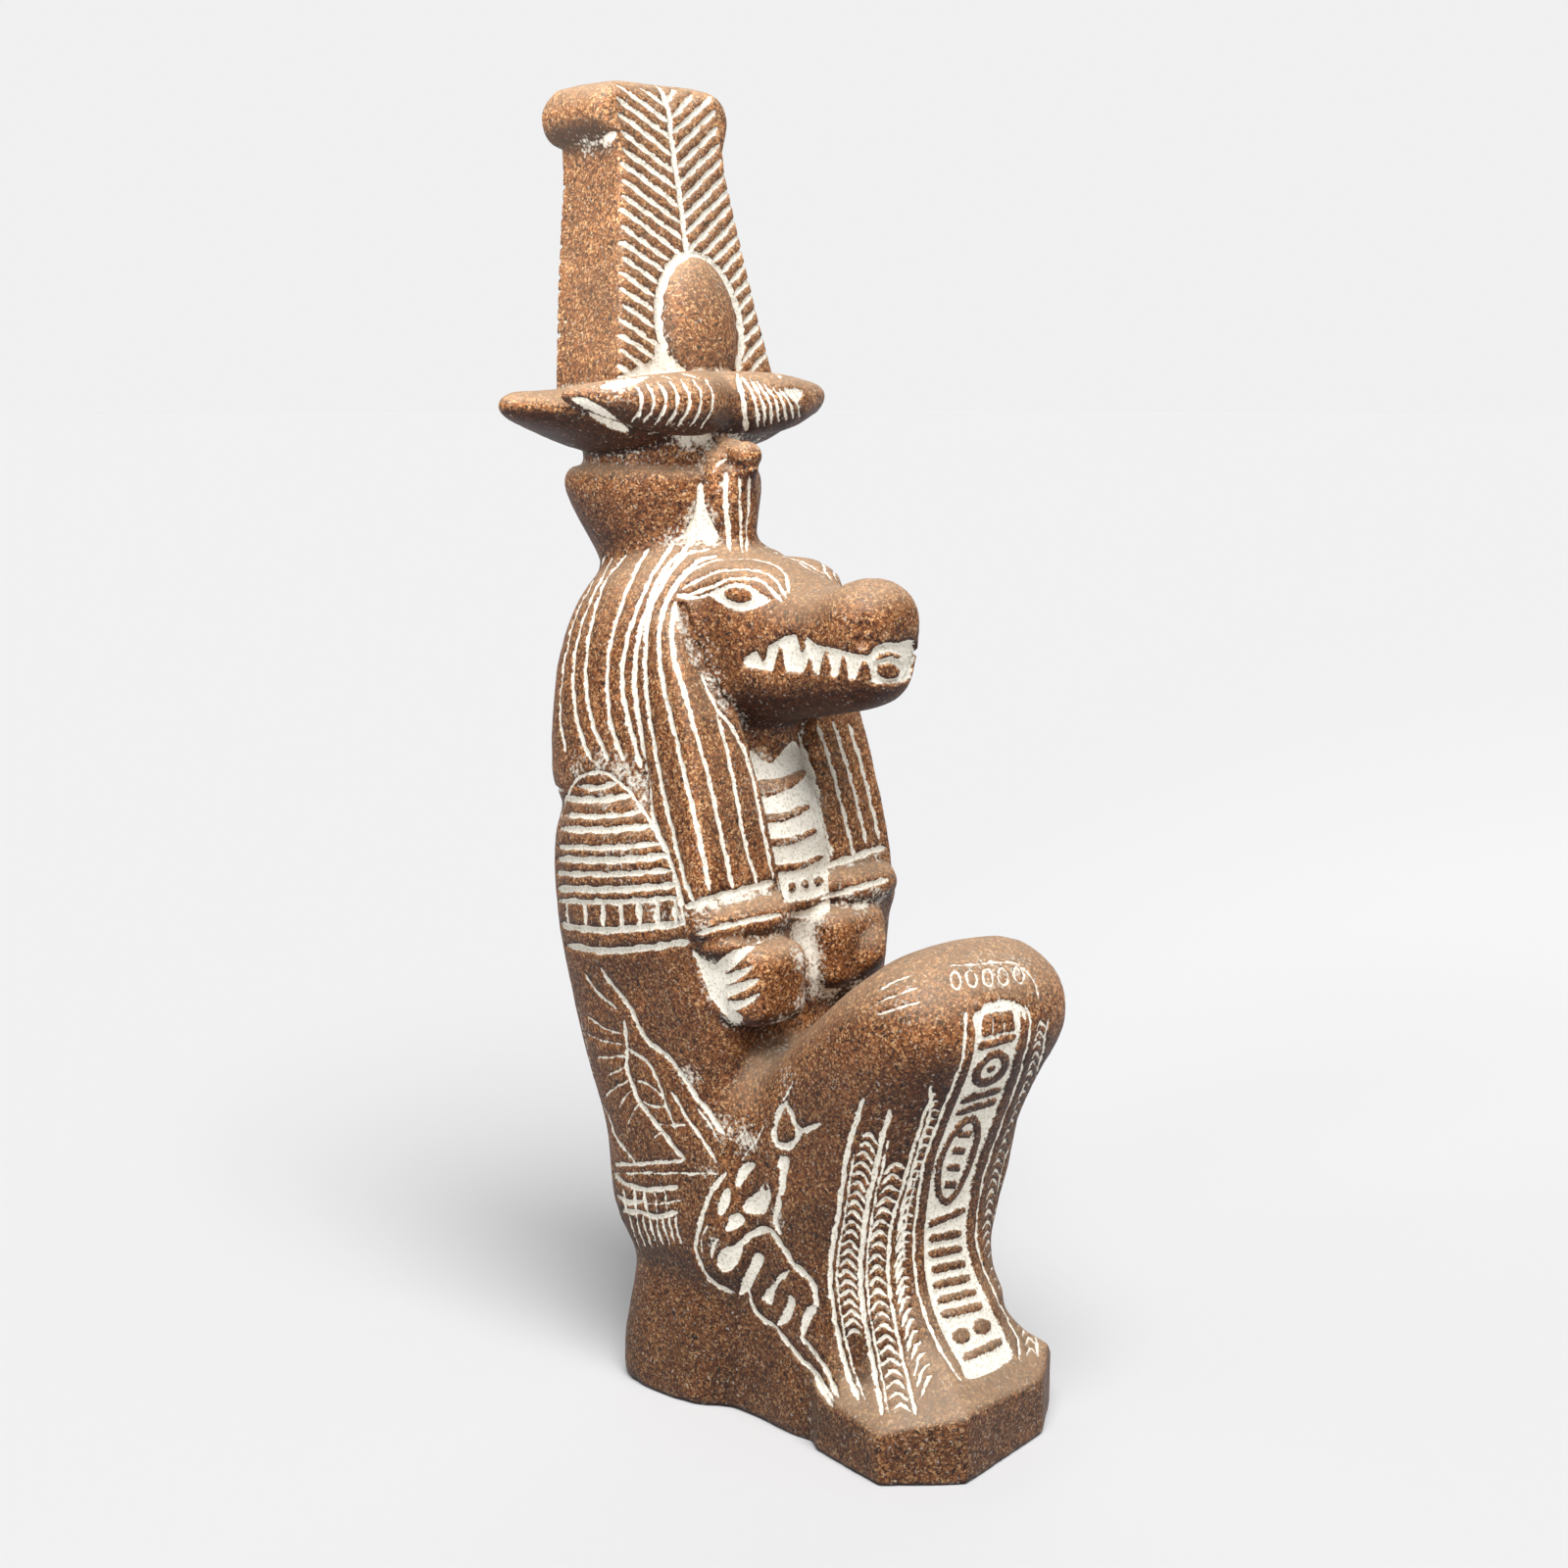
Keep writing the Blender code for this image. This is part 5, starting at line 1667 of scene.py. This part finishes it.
    def chalk_mask(self, tree: bpy.types.NodeTree, place: bpy.types.NodeSocket) -> bpy.types.NodeSocket:
        """Where chalk lies: in the cuts with ragged edges and gaps, and as loose dust."""
        groove = add_node(tree, "ShaderNodeAttribute", {}, attribute_name="groove").outputs["Fac"]
        dust = add_node(tree, "ShaderNodeAttribute", {}, attribute_name="dust").outputs["Fac"]
        relief = add_node(tree, "ShaderNodeAttribute", {}, attribute_name="relief").outputs["Fac"]
        rag = add_node(tree, "ShaderNodeTexNoise",
                       {"Vector": place, "Scale": 1.0 / (self.chalk_grain * MM), "Detail": 3.0}).outputs[0]
        gap = add_node(tree, "ShaderNodeTexNoise", {"Vector": place, "Scale": 1.0 / (3.1 * MM),
                                                    "Detail": 2.0}).outputs[0]
        ragged = add_node(tree, "ShaderNodeMath", {0: self.ramp(tree, rag, 0.25, 0.75, -0.15, 0.13),
                                                   1: groove},
                          operation="ADD").outputs[0]
        gapped = add_node(tree, "ShaderNodeMath", {0: self.ramp(tree, gap, 0.28, 0.50, -0.14, 0.0),
                                                   1: ragged},
                          operation="ADD").outputs[0]
        filled = self.ramp(tree, gapped, -0.05, 0.07)
        hollow = self.ramp(tree, relief, 0.05, 0.40, 0.0, 0.30)
        amount = add_node(tree, "ShaderNodeMath", {0: dust, 1: hollow}, operation="ADD").outputs[0]
        level = self.ramp(tree, rag, 0.28, 0.72, 1.0, 0.0)
        loose = add_node(tree, "ShaderNodeMath", {0: amount, 1: level}, operation="SUBTRACT").outputs[0]
        spread = self.ramp(tree, loose, -0.22, 0.30, 0.0, 0.88)
        return add_node(tree, "ShaderNodeMath", {0: filled, 1: spread}, operation="MAXIMUM").outputs[0]

    def make(self) -> bpy.types.Material:
        """Build the material.

        The eye knows this stone by its salt-and-pepper grains of half a millimetre in many browns, by
        edges that are paler than hollows, which carry painted shade, and by the dry white that sits in
        every cut.
        """
        material = bpy.data.materials.new("speckled_brown_stone_with_chalk")
        material.use_nodes = True
        tree = material.node_tree
        place = add_node(tree, "ShaderNodeTexCoord", {}).outputs["Object"]
        stone = self.wear_and_painted_light(tree, place, self.grains(tree, place))
        mask = self.chalk_mask(tree, place)
        fine = add_node(tree, "ShaderNodeTexNoise", {"Vector": place, "Scale": 1.0 / (0.5 * MM),
                                                     "Detail": 2.0})
        chalk = add_node(tree, "ShaderNodeValToRGB", {0: fine.outputs[0]})
        fill_ramp(chalk, ((0.32, self.chalk[1]), (0.50, self.chalk[0])))
        colour = add_node(tree, "ShaderNodeMix", {0: mask, 6: stone, 7: chalk.outputs[0]}, data_type="RGBA")
        rough = self.ramp(tree, mask, 0.0, 1.0, self.roughness, self.chalk_roughness)
        bump = add_node(tree, "ShaderNodeBump", {"Height": fine.outputs[0], "Strength": 0.35,
                                                 "Distance": 0.12 * MM})
        shader = tree.nodes["Principled BSDF"]
        tree.links.new(colour.outputs[2], shader.inputs["Base Color"])
        tree.links.new(rough, shader.inputs["Roughness"])
        tree.links.new(bump.outputs[0], shader.inputs["Normal"])
        shader.inputs["Specular IOR Level"].default_value = self.specular
        return material


@dataclass
class Studio:
    """Camera, soft lights and a pale floor."""

    eye: tuple[float, float, float] = EYE
    azimuth: float = AZIMUTH
    pitch: float = PITCH
    lens: float = 58.5
    sensor: float = 36.0
    nearest: float = 0.01
    sun: float = 3.9
    sun_tilt: float = 32.0
    sun_turn: float = -38.0
    sun_softness: float = 42.0
    left_lamp: float = 0.085
    lamp_place: tuple[float, float, float] = (-270.0, 10.0, 330.0)
    lamp_aim: tuple[float, float, float] = (-12.0, 46.0, 250.0)
    lamp_size: float = 180.0
    lamp_spread: float = 32.0
    room: float = 0.17
    wall: float = 0.875

    wall_way: tuple[float, float, float] = (0.70, 0.70, 0.12)
    wall_edge: tuple[float, float] = (0.72, 0.91)
    floor_size: float = 40.0

    def camera(self) -> None:
        """Place the camera where the photograph was taken from."""
        bpy.ops.object.camera_add(
            location=Vector(self.eye) * MM,
            rotation=(math.radians(90.0 - self.pitch), 0.0, math.radians(self.azimuth)),
        )
        camera = bpy.context.view_layer.objects.active
        camera.data.lens = self.lens
        camera.data.sensor_width = self.sensor
        camera.data.clip_start = self.nearest
        bpy.context.scene.camera = camera

    def lights(self) -> None:
        """A soft sun above the camera's side, a small lamp high on the left, and a dim room.

        The room has one white wall, which lies behind the figure as the camera sees it.
        """
        turn = (math.radians(self.sun_tilt), 0.0, math.radians(self.sun_turn))
        bpy.ops.object.light_add(type="SUN", rotation=turn)
        sun = bpy.context.view_layer.objects.active
        sun.name = "overhead"
        sun.data.energy = self.sun
        sun.data.angle = math.radians(self.sun_softness)
        spot = Vector(self.lamp_place) * MM
        aim = (Vector(self.lamp_aim) * MM - spot).to_track_quat("-Z", "Y").to_euler()
        bpy.ops.object.light_add(type="AREA", location=spot, rotation=aim)
        lamp = bpy.context.view_layer.objects.active
        lamp.name = "high_left"
        lamp.data.size = self.lamp_size * MM
        lamp.data.energy = self.left_lamp
        lamp.data.spread = math.radians(self.lamp_spread)
        world = bpy.data.worlds.new("room_with_white_wall")
        bpy.context.scene.world = world
        world.use_nodes = True
        tree = world.node_tree
        way = add_node(tree, "ShaderNodeTexCoord", {}).outputs["Generated"]
        toward = add_node(tree, "ShaderNodeVectorMath", {0: way, 1: self.wall_way}, operation="DOT_PRODUCT")
        wall = add_node(tree, "ShaderNodeMapRange",
                        {0: toward.outputs["Value"], 1: self.wall_edge[0], 2: self.wall_edge[1],
                         3: self.room, 4: self.wall},
                        interpolation_type="SMOOTHSTEP")
        background = tree.nodes["Background"]
        background.inputs["Color"].default_value = paint("#FFFFFF")
        tree.links.new(wall.outputs[0], background.inputs["Strength"])
        bpy.context.scene.view_settings.view_transform = "Standard"

    def floor(self) -> None:
        """A plain pale floor."""
        bpy.ops.mesh.primitive_plane_add(size=self.floor_size, location=(0, 0, 0))
        floor = bpy.context.view_layer.objects.active
        floor.name = "pale_floor"
        matt = bpy.data.materials.new("matt_white_floor")
        matt.use_nodes = True
        shader = matt.node_tree.nodes["Principled BSDF"]
        shader.inputs["Base Color"].default_value = paint("#D9D9DA")
        shader.inputs["Roughness"].default_value = 1.0
        shader.inputs["Specular IOR Level"].default_value = 0.0
        floor.data.materials.append(matt)

    def build(self) -> None:
        """Set up the studio."""
        self.camera()
        self.lights()
        self.floor()


def main() -> None:
    """Build the figure and the studio, and attach the figure to the root body."""
    logging.basicConfig(level=logging.INFO)
    figure = Figure().build()
    figure.data.materials.clear()
    figure.data.materials.append(SpeckledStone().make())
    select_only(figure)
    bpy.ops.object.shade_smooth()
    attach(figure, "root")
    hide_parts(NODE)
    log.info("%s has %d faces", figure.name, len(figure.data.polygons))
    Studio().build()


if __name__ == "__main__":
    main()
